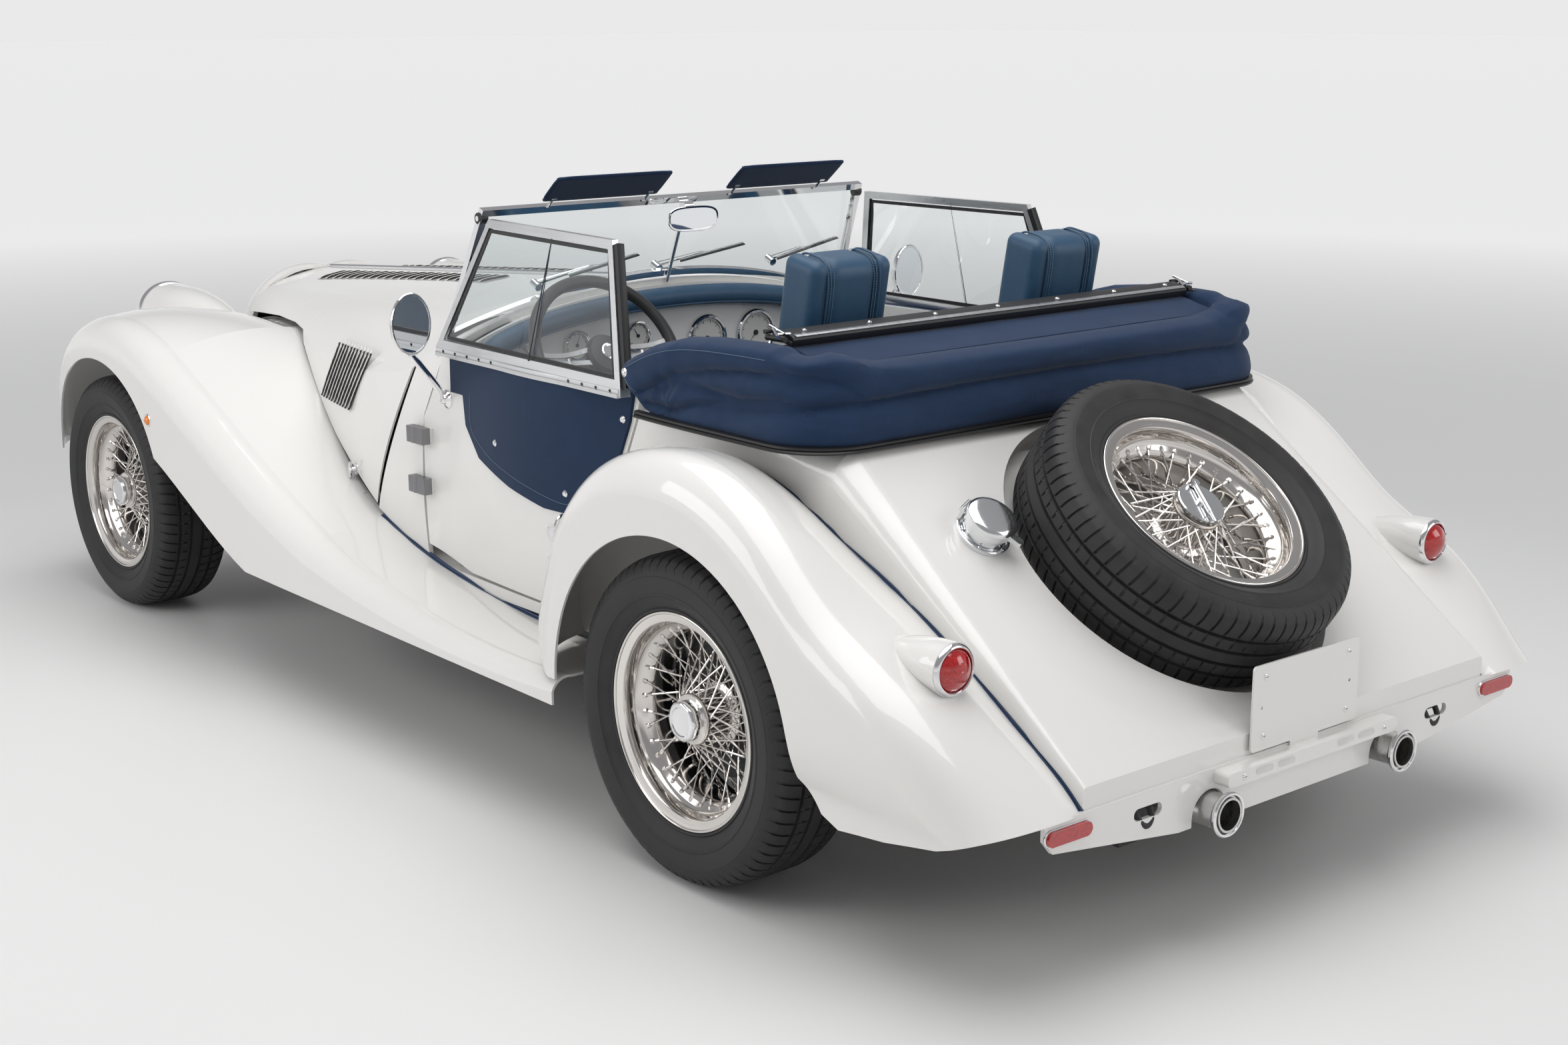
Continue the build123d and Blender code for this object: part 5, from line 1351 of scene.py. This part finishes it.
def louvre_spots(side, half):
    """Slanted rows on the side, and cross rows on the top, of one bonnet half."""
    node, slanted, crossed = f"bonnet_{half}", [], []
    for k in range(20):
        high, low = (-431 - 21 * k, 796), (-527 - 22 * k, 636)
        top, foot = flank(node, side, *high), flank(node, side, *low)
        middle = flank(node, side, (high[0] + low[0]) / 2, 720)
        if top and foot and middle:
            turn = facing(middle[1], (top[0] - foot[0]).normalized())
            slanted.append((middle[0], turn @ HALF_TURN if side < 0 else turn))
    for k in range(22):
        hit = above(node, side * 128, -1395 + 40 * k)
        if hit:
            crossed.append((hit[0], facing(hit[1], (1, 0, 0)) @ HALF_TURN))
    return slanted, crossed


# %% Place the louvres
for side, half in SIDES:
    slanted, crossed = louvre_spots(side, half)
    louvres = [on_points(louvre_mesh(182, 14.5, 6), slanted, paint, 50),
               on_points(louvre_mesh(92, 19, 7), crossed, paint, 50)]
    # painted shade: black rods in the louvre openings
    slots = [on_points(louvre_shade_rod(172, 6), slanted, edge_rubber),
             on_points(louvre_shade_rod(86, 7.5), crossed, edge_rubber)]
    piece(f"bonnet_louvres_{half}", louvres, f"bonnet_{half}")
    piece(f"bonnet_slots_{half}", slots, f"bonnet_{half}")
print("louvres", len(slanted), "on a flank and", len(crossed), "on the top")

# %% Catches and centre strip
# bonnet catch: a bright round plate with a knob and a T-handle
CATCH_PLATE = [(0, 0.1), (0, 15), (2, 15), (3.4, 12), (3.4, 7), (11, 6), (14, 9), (17, 9),
               (18.5, 6), (18.5, 0.1)]
catch = join([turned(CATCH_PLATE, chrome), rods([((0, -21, 15), (0, 21, 15), 4.6, 12)], chrome)])
for side, half in SIDES:
    hits = [flank(f"bonnet_{half}", side, y, z) for y, z in ((-490, 505), (-1240, 700))]
    catches = [set_on(catch, hit, (0, 0.4, 1)) for hit in hits if hit]
    piece(f"bonnet_catches_{half}", catches, f"bonnet_{half}")
strip_from, strip_to = Vector((0, -1640, 846)), Vector((0, -92, 964))
line = [strip_from + (strip_to - strip_from) * k / 60 for k in range(61)]
piece("bonnet_centre_strip", sweep(line, circle(6.2, 16), chrome), "body")
print("catches and centre strip set")

# %% [markdown]
# ## Door hinges, handles and locks
# Steel strap hinges with three knuckles, and a bright pull handle on two round feet.

# %% Door fittings
BOX_FACES = [(0, 1, 3, 2), (4, 6, 7, 5), (0, 4, 5, 1), (2, 3, 7, 6), (0, 2, 6, 4), (1, 5, 7, 3)]
HINGE_HEIGHTS, HINGE_X, HINGE_Y, KNUCKLE_RADIUS = (650.0, 535.0), 617.5, -125, 9.4
LEAF_X, LEAF_HALF = (604, 624.4), 18.6
HANDLE_Y, HANDLE_Z, HANDLE_HALF = 492, 532, 44
PULL = smooth_line([(0, -44, 4), (0, -40, 16), (0, -26, 25), (0, 0, 28), (0, 26, 25), (0, 40, 16),
                    (0, 44, 4)], 6)
ROSE = [(0, 0.1), (0, 17), (2.4, 17), (4, 13), (4, 0.1)]
LOCK = [(0, 0.1), (0, 10), (2, 10), (3, 8), (3, 3), (1.4, 2.4), (1.4, 0.1)]


def screw(radius):
    head = [(-1, 0.1), (-1, radius), (0.8, radius), (1.8, radius * 0.7), (2.0, 0.1)]
    # the slot is a thin black rod across the head: painted shade in the groove
    slot = [((-radius * 0.75, 0, 2.0), (radius * 0.75, 0, 2.0), 0.5, 6)]
    return join([turned(head, chrome, 16), rods(slot, edge_rubber, 35)])


# %% Hinges and handles
for side, half in SIDES:
    door = f"door_{half}"
    fixed, moving = [], []
    for z in HINGE_HEIGHTS:
        for low, high, store in ((-18.4, -6.2, fixed), (-5.8, 5.8, moving), (6.2, 18.4, fixed)):
            ends = ((side * HINGE_X, HINGE_Y, z + low), (side * HINGE_X, HINGE_Y, z + high))
            store.append(rods([(*ends, KNUCKLE_RADIUS, 24)], hinge_steel))
        for near, far, store in ((-152.5, -128, fixed), (-121, -84, moving)):
            leaf = [(side * x, y, z + c)
                    for x in LEAF_X for y in (near, far) for c in (-LEAF_HALF, LEAF_HALF)]
            store.append(to_mesh((leaf, BOX_FACES), hinge_steel))
    piece(f"hinge_leaves_fixed_{half}", fixed, "body")
    pull = sweep(PULL, circle(6.4, 12, 0.75), chrome, (1, 0, 0), angle=60)
    moving.append(set_on(pull, flank(door, side, HANDLE_Y, HANDLE_Z)))
    moving += [set_on(turned(ROSE, chrome), flank(door, side, HANDLE_Y + y, HANDLE_Z))
               for y in (-HANDLE_HALF, HANDLE_HALF)]
    moving.append(set_on(turned(LOCK, chrome, 24), flank(door, side, 430, 470)))
    piece(f"door_fittings_{half}", moving, door)
print("door fittings set")

# %% [markdown]
# ## Mirrors, lamps and side markers
# The egg-shaped door mirrors are chrome shells on a stalk with a cast foot. The headlamps have
# a bowl, a bulb and a lens, and all the lamps get chrome rims.

# %% Mirrors
EGG_HALF_X, EGG_HALF_Z, EGG_DEPTH, EGG_STEPS, DOME_RINGS = 47.5, 65.5, 40, 40, 12
PANE_HALF_X, PANE_HALF_Z = 44, 60.6
MIRROR_HEAD, MIRROR_FOOT = Vector((724, 60, 930)), Vector((604, -20, 742))
MIRROR_BASE = [(-1, 0.1), (-1, 21), (3, 21), (6, 17), (9, 11), (15, 9), (18, 6), (18, 0.1)]


def egg_mirror():
    """Shell about the origin, glass towards +Y."""
    n, angles = EGG_STEPS, [math.pi / 2 * k / DOME_RINGS for k in range(DOME_RINGS + 1)]
    rings = [(math.cos(a), -EGG_DEPTH * math.sin(a), 0.01) for a in angles]
    rings += [(1.03, 1.5, 0), (1.0, 4.0, 0), (0.93, 3.6, 0), (0.92, 1.0, 0)]
    shell = [(EGG_HALF_X * size * c + least * c, y, EGG_HALF_Z * size * s + least * s)
             for size, y, least in rings for c, s in turns(n)]
    order = [*range(DOME_RINGS, -1, -1), *range(DOME_RINGS + 1, len(rings))]
    faces = [tuple(order[i // n] * n + i % n for i in face) for face in bands(len(order), n)]
    pane = [(PANE_HALF_X * c, y, PANE_HALF_Z * s) for y in (0.6, 2.6) for c, s in turns(n)]
    return join([to_mesh((shell, faces), chrome, 40),
                 to_mesh((pane, bands(2, n)), mirror_glass, 40)])


ball = (MIRROR_HEAD + Vector((-2, -34, -22)), MIRROR_HEAD + Vector((-6, -24, -38)), 11, 16)
stalk = smooth_line([MIRROR_HEAD + Vector((-4, -28, -30)), MIRROR_HEAD + Vector((-16, -40, -64)),
                     MIRROR_FOOT + Vector((22, 12, 34)), MIRROR_FOOT + Vector((8, 2, 6))], 10)
egg = join([moved(egg_mirror(), shift(MIRROR_HEAD)), rods([ball], chrome),
            sweep(stalk, circle(8.6, 14, 0.8), chrome, (0, 1, 0), angle=60),
            set_on(turned(MIRROR_BASE, chrome), flank("door_left", 1, -22, 742))])
piece("egg_mirror_left", egg, "door_left", ("door_mirror_left",))
piece("egg_mirror_right", moved(egg, MIRROR), "door_right", ("door_mirror_right",))
print("door mirrors set")

# %% Lamps and markers
LAMP_X, LAMP_Y, LAMP_Z = 458, -1769.0, 733.0
LAMP_RIM = [(-26, 86), (-26, 93), (-20, 95), (-8, 95), (2, 92), (6, 87), (4, 84), (-2, 84.5)]
BOWL = [(-3, 86), (-12, 72), (-19, 48), (-22, 20), (-22, 0.1), (-26, 0.1), (-26, 87), (-3, 87)]
BULB = [(-23, 9), (-12, 9), (-7, 7), (-4, 0.1), (-23, 0.1)]
LENS_PROFILE = [(-3, 86), (4, 80), (13, 60), (19, 30), (21.5, 0.1), (18.5, 0.1), (16, 30),
                (10, 59), (2, 77), (-3, 82)]
TAIL_RIM = [(-7, 38), (-7, 44), (-3, 45.5), (2, 44), (4.6, 41), (5, 39), (3, 37.6)]
MARKER_LENS = [(-2, 0.1), (-2, 13), (2, 13), (6, 11), (9, 6), (10, 0.1)]
MARKER_RING = [(-2, 12.5), (-2, 16.5), (1.6, 16.5), (3, 15), (2.4, 12.5)]
rims, lamps, markers = [], [], []
lamp = join([lathe(BOWL, mirror_glass, 64), lathe(BULB, dial_white, 24),
             lathe(LENS_PROFILE, lamp_glass, 64)])
for side, _ in SIDES:
    carry = shift((side * LAMP_X, LAMP_Y, LAMP_Z)) @ spin(-90, "Z")
    rims.append(moved(lathe(LAMP_RIM, chrome, 64), carry))
    lamps.append(moved(lamp, carry))
rims += [moved(lathe(TAIL_RIM, chrome, 48), shift((x, 1671, 535)) @ spin(90, "Z"))
         for x in (671, -671)]
piece("headlamp_glasses", lamps, "body", ("headlamps",))
piece("lamp_rims", rims, "body")
marker = join([turned(MARKER_LENS, amber), turned(MARKER_RING, chrome)])
for side, _ in SIDES:
    lip = [flank("front_wings", side, y, 566) for y in range(-1130, -980, 10)]
    markers.append(set_on(marker, [hit for hit in lip if hit and abs(hit[0].x) > 700][3]))
piece("side_markers", markers, "body")
print("rims and markers set")

# %% [markdown]
# ## Tail fittings
# The plate is blank. It has four pins, screws at its holder, and a bar above the valance with
# lamp windows. Shackles hang in the valance slots, the reflectors have bright rims, and the
# exhaust tips have rolled ends.

# %% Tail fittings
WINDOW = [(-19, -6), (19, -6), (22, -3), (22, 3), (19, 6), (-19, 6), (-22, 3), (-22, -3)]
SHACKLE_X, REFLECTOR_X, EXHAUST_X = 411, 607, 251
HOOP = ((-17, 10, -6), (-18, 2, 4), (-16, -12, 12), (-8, -22, 15), (0, -25, 16), (8, -22, 15),
        (16, -12, 12), (18, 2, 4), (17, 10, -6))
PIPE_END = [(-6, 33), (-9, 37), (-4, 40.2), (0, 40.6), (2.6, 38.4), (2.4, 35.4), (0, 33.6)]
REFLECTOR_HALF, REFLECTOR_ROUND = 39.5, 13.6
exhaust_end = max(v.co.y for v in NODES["exhaust"].data.vertices) * METRE
points = [(a * s, b * s, h) for s, h in ((1, -0.5), (1, 1.4), (0.9, 2.2)) for a, b in WINDOW]
window = to_mesh((points, bands(3, len(WINDOW))), lamp_glass)
tail = [set_on(screw(5.5), behind("plate_holder", x, z)) for z in (460, 352) for x in (-118, 118)]
tail += [set_on(screw(5.0), behind("plate_holder", x, 305)) for x in (-200, 200)]
dark = []
for side, _ in SIDES:
    tail += [set_on(window, behind("plate_holder", side * x, 306)) for x in (85, 146)]
    x = side * SHACKLE_X
    hoop = smooth_line([(x + a, 1852 + c, 284 + b) for a, b, c in HOOP], 5)
    dark.append(sweep(hoop, circle(5.6, 12), black_steel, (0, 1, 0), angle=60))
    dark.append(rods([((x - 27, 1851, 287), (x + 27, 1851, 287), 5, 12)], black_steel))
    ring = [(side * REFLECTOR_X + math.copysign(REFLECTOR_HALF, c) + REFLECTOR_ROUND * c, 1870.5,
             296 + REFLECTOR_ROUND * s) for c, s in turns(48, 0.5)]
    tail.append(sweep(ring, circle(2.2, 8), chrome, (0, 1, 0), True, 60))
    place = shift((side * EXHAUST_X, exhaust_end - 3, 251)) @ spin(90, "Z")
    tail.append(moved(lathe(PIPE_END, chrome, 48), place))
piece("tail_fittings", tail, "body")
piece("tow_shackles", dark, "body")
print("tail fittings", len(tail))

# %% [markdown]
# ## Fuel filler
# Flange screws, and a domed polished cap over the lid.

# %% Filler
FILLER = shift((391, 1448, 677)) @ facing(DECK_UP, (1, 0, 0)).to_4x4()
FLANGE = [(5.5, 44), (5.5, 51.4), (8, 52.4), (9.4, 50), (9.4, 46)]
CAP_DOME = [(38, 45.4), (38, 48.2), (42, 49), (46, 48.4), (49, 46), (52.2, 40), (54, 30),
            (55.2, 16), (55.6, 0.1), (50, 0.1), (50, 42), (46, 45.4)]
neck = [moved(turned(FLANGE, polished, 64), FILLER)]
neck += [moved(screw(3.6), FILLER @ shift((47.6 * c, 47.6 * s, 9)))
         for c, s in turns(6, 12 / 60)]
piece("filler_flange", neck, "body")
piece("filler_cap_dome", moved(turned(CAP_DOME, polished, 72, 30), FILLER), "filler_lid")
print("filler set")

# %% [markdown]
# ## Padded roll and dials
# The roll follows the rear lip of the scuttle, with a seam along its underside. Six white
# dials with printed ticks sit in chrome bezels.

# %% Dash roll
ROLL_RADIUS, ROLL_STATIONS, ROLL_HALF_ANGLE, ROLL_CENTRE = 24.5, 97, 74.5, Vector((0, 30, 600))
roll_line = []
for k in range(ROLL_STATIONS):
    a = math.radians(-ROLL_HALF_ANGLE + 2 * ROLL_HALF_ANGLE * k / (ROLL_STATIONS - 1))
    out = Vector((math.sin(a), 0, math.cos(a)))
    hit = touch("dash_pad", ROLL_CENTRE + out * 900, -out)
    if hit:
        roll_line.append(hit[0] - out * 24)
roll_line = smoothed(roll_line, 4)
roll = sweep(roll_line, circle(ROLL_RADIUS, 28, 0.94), leather, (0, 1, 0), angle=70)
welt_line = [p + Vector((0, 20, -17)) for p in roll_line]
welt = sweep(welt_line, circle(1.9, 8), leather, (0, 1, 0), angle=70)
piece("dash_roll", roll, "body", ("dash_pad",))
piece("dash_roll_welt", welt, "body")
print("dash roll", len(roll_line), "stations")

# %% Dials
# x, z and radius of each dial
DIALS = ((423, 818, 31), (262, 832, 31), (92, 838, 31), (0, 776, 27), (-112, 812, 50),
         (-262, 812, 50))
# height, and radius as a share of the dial's
BEZEL = ((-1, 0.9), (-1, 1.12), (6, 1.16), (10, 1.1), (10.5, 1), (7, 0.92), (3, 0.9))
FACE_RIM, TICKS, TICK_SWEEP = 0.93, 36, 270
bezels, dial_faces, marks = [], [], []
for x, z, r in DIALS:
    hit = touch("dashboard", (x, 300, z), (0, -1, 0))
    if not hit:
        continue
    carry = shift(hit[0]) @ facing(hit[1]).to_4x4()
    disc = [(0.2, 0.1), (0.2, r * FACE_RIM), (3, r * FACE_RIM), (3, 0.1)]
    bezels.append(moved(turned([(h, r * s) for h, s in BEZEL], chrome, 48), carry))
    dial_faces.append(moved(turned(disc, dial_white, 48), carry))
    for k in range(TICKS + 1):
        t = math.radians(-TICK_SWEEP / 2 + TICK_SWEEP * k / TICKS)
        ends = [carried(carry, (q * r * math.sin(t), q * r * math.cos(t), 3.1))
                for q in (0.8 if k % 4 else 0.74, 0.87)]
        marks.append(rod(*ends, 0.55 if k % 4 else 0.9, 4))
    t = math.radians(-60 + x * 0.3)
    tip = carried(carry, (r * 0.7 * math.sin(t), r * 0.7 * math.cos(t), 4))
    hub = carried(carry, (0, 0, 4))
    marks.append(rod(hub, tip, 1.0, 5, 0.4))
    marks.append(rod(hub - hit[1] * 1.5, hub + hit[1] * 2, r * 0.13, 14))
piece("dial_bezels", bezels, "body")
piece("dial_faces", dial_faces, "body")
piece("dial_marks", to_mesh(group(marks), dial_black, 50), "body")
print("dials", len(dial_faces))

# %% [markdown]
# ## Steering wheel
# A leather rim with a seam inside, three bright spokes of two bars each, a padded hub and half
# a ring for the horn.

# %% Steering wheel
WHEEL_LEAN = math.radians(33.0)
STEER_UP = Vector((0, math.cos(WHEEL_LEAN), math.sin(WHEEL_LEAN)))
STEER = shift((310, 196, 842)) @ facing(STEER_UP).to_4x4()
GRIP_RADIUS, LACING_RADIUS, HORN_RADIUS = 178, 164.6, 98
BOSS = [(-30, 0.1), (-30, 40), (-14, 47), (-2, 47), (5, 42), (9, 30), (10, 18), (10, 0.1)]
BUTTON = [(9, 0.1), (9, 19), (12.4, 19), (13.6, 16), (12.6, 13.6), (12.6, 0.1)]
ring = [Vector((GRIP_RADIUS * c, GRIP_RADIUS * s, 0)) for c, s in turns(120)]
half_turn = [math.pi * (1 + k / 40) for k in range(41)]
horn = [(HORN_RADIUS * math.cos(t), HORN_RADIUS * math.sin(t), -9) for t in half_turn]
wheel = [sweep(ring, circle(13.6, 20, 0.96), wheel_hide, closed=True, angle=70),
         sweep([p * (LACING_RADIUS / GRIP_RADIUS) for p in ring], box_section(1.2, 2.2),
               black_trim, closed=True),
         turned(BOSS, wheel_hide, 48, 50), turned(BUTTON, chrome, 40),
         sweep(horn, circle(4.6, 10), alloy, angle=60)]
for angle in (0, 180, 270):
    c, s = math.cos(math.radians(angle)), math.sin(math.radians(angle))
    for lane in (-11, 11):
        bend = smooth_line([(34, lane * 1.5, -6), (80, lane, -10), (130, lane * 0.9, -7),
                            (168, lane * 1.3, -1)], 6)
        bar = [(p.x * c - p.y * s, p.x * s + p.y * c, p.z) for p in bend]
        wheel.append(sweep(bar, box_section(5.5, 1.8), alloy))
piece("steering_wheel_dressed", moved(join(wheel), STEER), "steering_wheel",
      ("steering_wheel",))
print("steering wheel set")

# %% [markdown]
# ## Visors, mirror and wipers
# Each visor is a padded board with a sewn border, held by two bright hooks. The cabin mirror
# is an oblong with a chrome rim on a rod. The wipers have tapered arms and rubber blades.

# %% Visors
VISOR_LEAN = math.radians(39)
VISOR_X, VISOR_HALF_X, VISOR_HALF_Z = 255, 154, 42
VISOR_UP = Vector((0, math.cos(VISOR_LEAN), math.sin(VISOR_LEAN)))
visor_turn = facing(Vector((1, 0, 0)).cross(VISOR_UP), VISOR_UP).to_4x4()
board = pillow((154.5, 42, 4.4), 4.2, panel_cloth, 0.5, ((1, -34), (1, 34)), (40, 24, 4), 0.7)
border = [(math.copysign(VISOR_HALF_X * abs(c) ** 0.14, c),
           math.copysign(VISOR_HALF_Z * abs(s) ** 0.3, s), 0) for c, s in turns(96, 0.5)]
boards, borders, hooks = [], [], []
for side, _ in SIDES:
    foot = Vector((side * VISOR_X, 100, 1175)) + VISOR_UP * 42.5
    place = shift(foot) @ visor_turn
    boards.append(moved(board, place))
    edge = [carried(place, p) for p in border]
    borders.append(sweep(edge, circle(2.6, 8), panel_cloth, closed=True, angle=70))
    for at in (-130, 130):
        start = Vector((side * VISOR_X + at, 68, 1158))
        end = foot + Vector((at, 0, 0)) - VISOR_UP * 30
        middle = (start + end) / 2 + Vector((0, 4, -4))
        bend = smooth_line([start, start + Vector((0, 14, 3)), middle, end], 6)
        clip = (end - Vector((7, 0, 0)), end + Vector((7, 0, 0)), 6, 12)
        socket = (start - Vector((9, 2, 0)), start + Vector((9, -2, 0)), 6.5, 12)
        hooks += [sweep(bend, circle(3.8, 10), chrome, (1, 0, 0), angle=60),
                  rods([clip], chrome), rods([socket], chrome)]
piece("visor_boards", boards + borders, "body", ("sun_visors",))
piece("visor_hooks", hooks, "body")
print("visors", len(boards))

# %% Cabin mirror
OBLONG_STEPS, OBLONG_POWER, MIRROR_Z = 56, 3.2, 1112
# half width, half height and Y of each ring
MIRROR_SHELL = ((34, 12, 94.5), (60, 23, 97), (70, 28, 103), (72, 29, 108), (71, 28, 109.5),
                (67, 24, 109), (67, 24, 107))
MIRROR_PANE = ((67, 24, 107.2), (67, 24, 108.6))


def oblongs(rings, finish):
    points = [(w * oval(c, s, OBLONG_POWER) * c, y, h * oval(c, s, OBLONG_POWER) * s)
              for w, h, y in rings for c, s in turns(OBLONG_STEPS)]
    return to_mesh((points, bands(len(rings), OBLONG_STEPS)), finish, 40)


mirror = join([oblongs(MIRROR_SHELL, chrome), oblongs(MIRROR_PANE, mirror_glass)])
top, low = (touch("cabin_mirror", (0, 300, z), (0, -1, 0))[0] for z in (1140, 1000))
along, half_ball = (top - low).normalized(), Vector((13, 0, 0))
ball_at = top + Vector((0, 6, 0))
stem = [rods([(low - along * 46, top + along * 6, 4.4, 14)], chrome),
        rods([(ball_at - half_ball, ball_at + half_ball, 11, 20)], chrome)]
piece("cabin_mirror_dressed", [moved(mirror, shift((0, 0, MIRROR_Z)))] + stem, "body",
      ("cabin_mirror",))
print("cabin mirror set")

# %% Wipers
# foot and tip of each wiper, (x, z)
WIPERS = (((-330, 978), (-472, 1010)), ((20, 990), (-186, 1022)), ((350, 972), (120, 1018)))
BLADE = [(-1.2, -4), (1.2, -4), (3, 2), (3, 5), (-3, 5), (-3, 2)]
BLADE_HALF = 92
arms, blades = [], []
for ends in WIPERS:
    hits = [touch("windscreen_glass", (x, -600, z), (0, 1, 0)) for x, z in ends]
    (foot, normal, _), (tip, _, _) = hits
    lift = normal * 15
    elbow = foot.lerp(tip, 0.62) + lift * 1.25
    for row in ((foot + lift * 1.1, elbow, 7.0, 10, 3.4),
                (foot - lift * 0.2, foot + lift * 1.5, 9.5, 20),
                (elbow, tip.lerp(foot, 0.28) + lift * 0.6, 3.2, 8)):
        arms.append(rods([row], chrome))
    reach, middle = (tip - foot).normalized() * BLADE_HALF, tip.lerp(foot, 0.24)
    starts = [middle + reach * k + Vector((0, -200, 0)) for k in (-1, -0.5, 0, 0.5, 1)]
    line = [touch("windscreen_glass", start, (0, 1, 0)) for start in starts]
    line = [hit[0] + hit[1] * 4.5 for hit in line if hit]
    blades.append(sweep(line, BLADE, edge_rubber, (0, -1, 0)))
    bow = [p + normal * 7 for p in line]
    arms.append(sweep(bow, circle(2.4, 8), chrome, (0, -1, 0), angle=60))
piece("wiper_arms", arms, "body", ("wipers",))
piece("wiper_blades", blades, "body")
print("wipers", len(blades))

# %% [markdown]
# ## Sidescreens
# Black seals frame the panes, a second edge shows where the rear pane slides, a rubber post
# stands behind each frame, and studs hold the cloth panel to the door.

# %% Sidescreen details
FRONT_LOW, REAR_LOW = Vector((620, -5, 863)), Vector((630, 697, 860))
FRONT_TOP, REAR_TOP = Vector((541, 100, 1144)), Vector((580, 612, 1144))
SEAL_CORNERS = [(0.036, 0.085), (0.964, 0.085), (0.958, 0.915), (0.042, 0.915)]
PANE_SPLIT, SILL_Z = 0.53, 856
POST = [(-7, -8), (7, -8), (8, 0), (6, 8), (-6, 8), (-8, 0)]
PANEL_STUD = [(0, 0.1), (0, 7.5), (1.4, 7.5), (4, 5), (4.8, 0.1)]
RIVET = [(0, 0.1), (0, 3.2), (1.0, 2.6), (1.4, 0.1)]
SILL_STEP = [(-2, -9.5), (3, -9.5), (4, -7), (4, -1), (1.8, 0), (1.8, 7), (1, 8.5), (-2, 8.5)]
STUDS_AT = ((58, 738), (246, 690), (505, 625), (676, 800), (20, 700))
HEM_AT = ((109, 770), (112, 700), (180, 663), (260, 641), (380, 618), (500, 602), (555, 628),
          (592, 597), (625, 612), (706, 790))


def on_screen(u, v):
    """A place on the sidescreen: u runs rearwards and v upwards, from 0 to 1."""
    return FRONT_LOW.lerp(REAR_LOW, u).lerp(FRONT_TOP.lerp(REAR_TOP, u), v)


def found(names, spots):
    """Where the left flank is touched, at each (y, z) where it is."""
    return [hit for hit in (flank(names, 1, y, z) for y, z in spots) if hit]


# %% Seals, rails and studs
seal_line = []
for (u, v), (u2, v2) in zip(SEAL_CORNERS, SEAL_CORNERS[1:] + SEAL_CORNERS[:1]):
    seal_line += [on_screen(u + (u2 - u) * k / 8, v + (v2 - v) * k / 8) for k in range(8)]
split = [on_screen(PANE_SPLIT, v) + Vector((5, 0, dz)) for v, dz in ((0, 18), (1, -18))]
post = [REAR_LOW + Vector((-6, 10, 6)), REAR_LOW.lerp(REAR_TOP, 0.5) + Vector((-3, 11, 0)),
        REAR_TOP + Vector((-2, 10, -8))]
hem = [hit[0] + hit[1] * 0.6 for hit in found("sidescreen_panel_left", HEM_AT)]
bars = [sweep(seal_line, box_section(4, 3), edge_rubber, (1, 0, 0), True, 50),
        rods([(*split, 1.5, 8)], edge_rubber),
        sweep(post, POST, edge_rubber, (1, 0, 0), angle=50),
        on_points(stitch_mesh(3.6, 0.55), spaced(smooth_line(hem, 14), 5.4), thread)]
studs = [set_on(turned(PANEL_STUD, chrome, 24), hit)
         for hit in found("sidescreen_panel_left", STUDS_AT)]
sill_hits = found("sidescreen_frame_left sidescreen_panel_left",
                  [(-2 + 9.8 * k, 855) for k in range(72)])
sill_line = smoothed([Vector((hit[0].x, hit[0].y, SILL_Z)) for hit in sill_hits], 6)
rail = sweep(sill_line, SILL_STEP, alloy)
for hit in found("sidescreen_frame_left", [(30 + 49 * k, SILL_Z) for k in range(14)]):
    place = hit[0] + Vector((2.2, 0, 3))
    studs.append(set_on(turned(RIVET, black_trim, 12), (place, hit[1])))
for side, half in SIDES:
    carry = Matrix.Identity(4) if side > 0 else MIRROR
    rows = (("sill_rail", [rail], "alloy"), ("seals", bars, "black_steel"),
            ("studs", studs, "chrome"))
    for name, meshes, slot in rows:
        piece(f"sidescreen_{name}_{half}", [moved(mesh, carry) for mesh in meshes],
              f"door_{half}")
print("studs and rivets on a side", len(studs))

# %% [markdown]
# ## Door trim and screen corners
# Each door has a padded leather panel inside, with a roll along its top. A black knuckle
# covers each lower corner joint of the windscreen frame's top rail.

# %% Door trim
TRIM_YS, TRIM_ZS = [-70 + 26 * k for k in range(21)], [400 + 24 * k for k in range(17)]
PUFF, ROLL_PUFF, ROLL_ROWS = (2, 8, 11), 9, 3
SKIN_LEAST, SKIN_PLAIN = 540, 590
for side, half in SIDES:
    outer, inner = [], []
    for i, y in enumerate(TRIM_YS):
        for k, z in enumerate(TRIM_ZS):
            hit = touch(f"door_{half}", (0, y, z), (side, 0, 0))
            x = abs(hit[0].x) if hit and abs(hit[0].x) > SKIN_LEAST else SKIN_PLAIN
            edge = min(i, len(TRIM_YS) - 1 - i, k, len(TRIM_ZS) - 1 - k)
            puff = PUFF[min(edge, 2)]
            if edge and k >= len(TRIM_ZS) - ROLL_ROWS:
                puff += ROLL_PUFF
            outer.append((side * (x + 1), y, z))
            inner.append((side * (x - puff), y, z))
    faces = slab(len(TRIM_YS), len(TRIM_ZS))
    piece(f"door_trim_{half}", to_mesh((outer + inner, faces), leather, 60), f"door_{half}")
print("door trims", len(faces))

# %% Screen corners
CORNER_X, CORNER_Y, CORNER_Z = 539, 68, 1143
corners = []
for side, _ in SIDES:
    for near, far, back, radius, sides, finish in ((-8, 10, (-8, -6), 13, 20, black_trim),
                                                   (8, 13, (-7, -7), 6, 14, chrome)):
        ends = [(side * (CORNER_X + x), CORNER_Y + y, CORNER_Z) for x, y in zip((near, far), back)]
        corners.append(rods([(*ends, radius, sides)], finish))
piece("screen_corner_knuckles", corners, "body")
print("cabin details set")
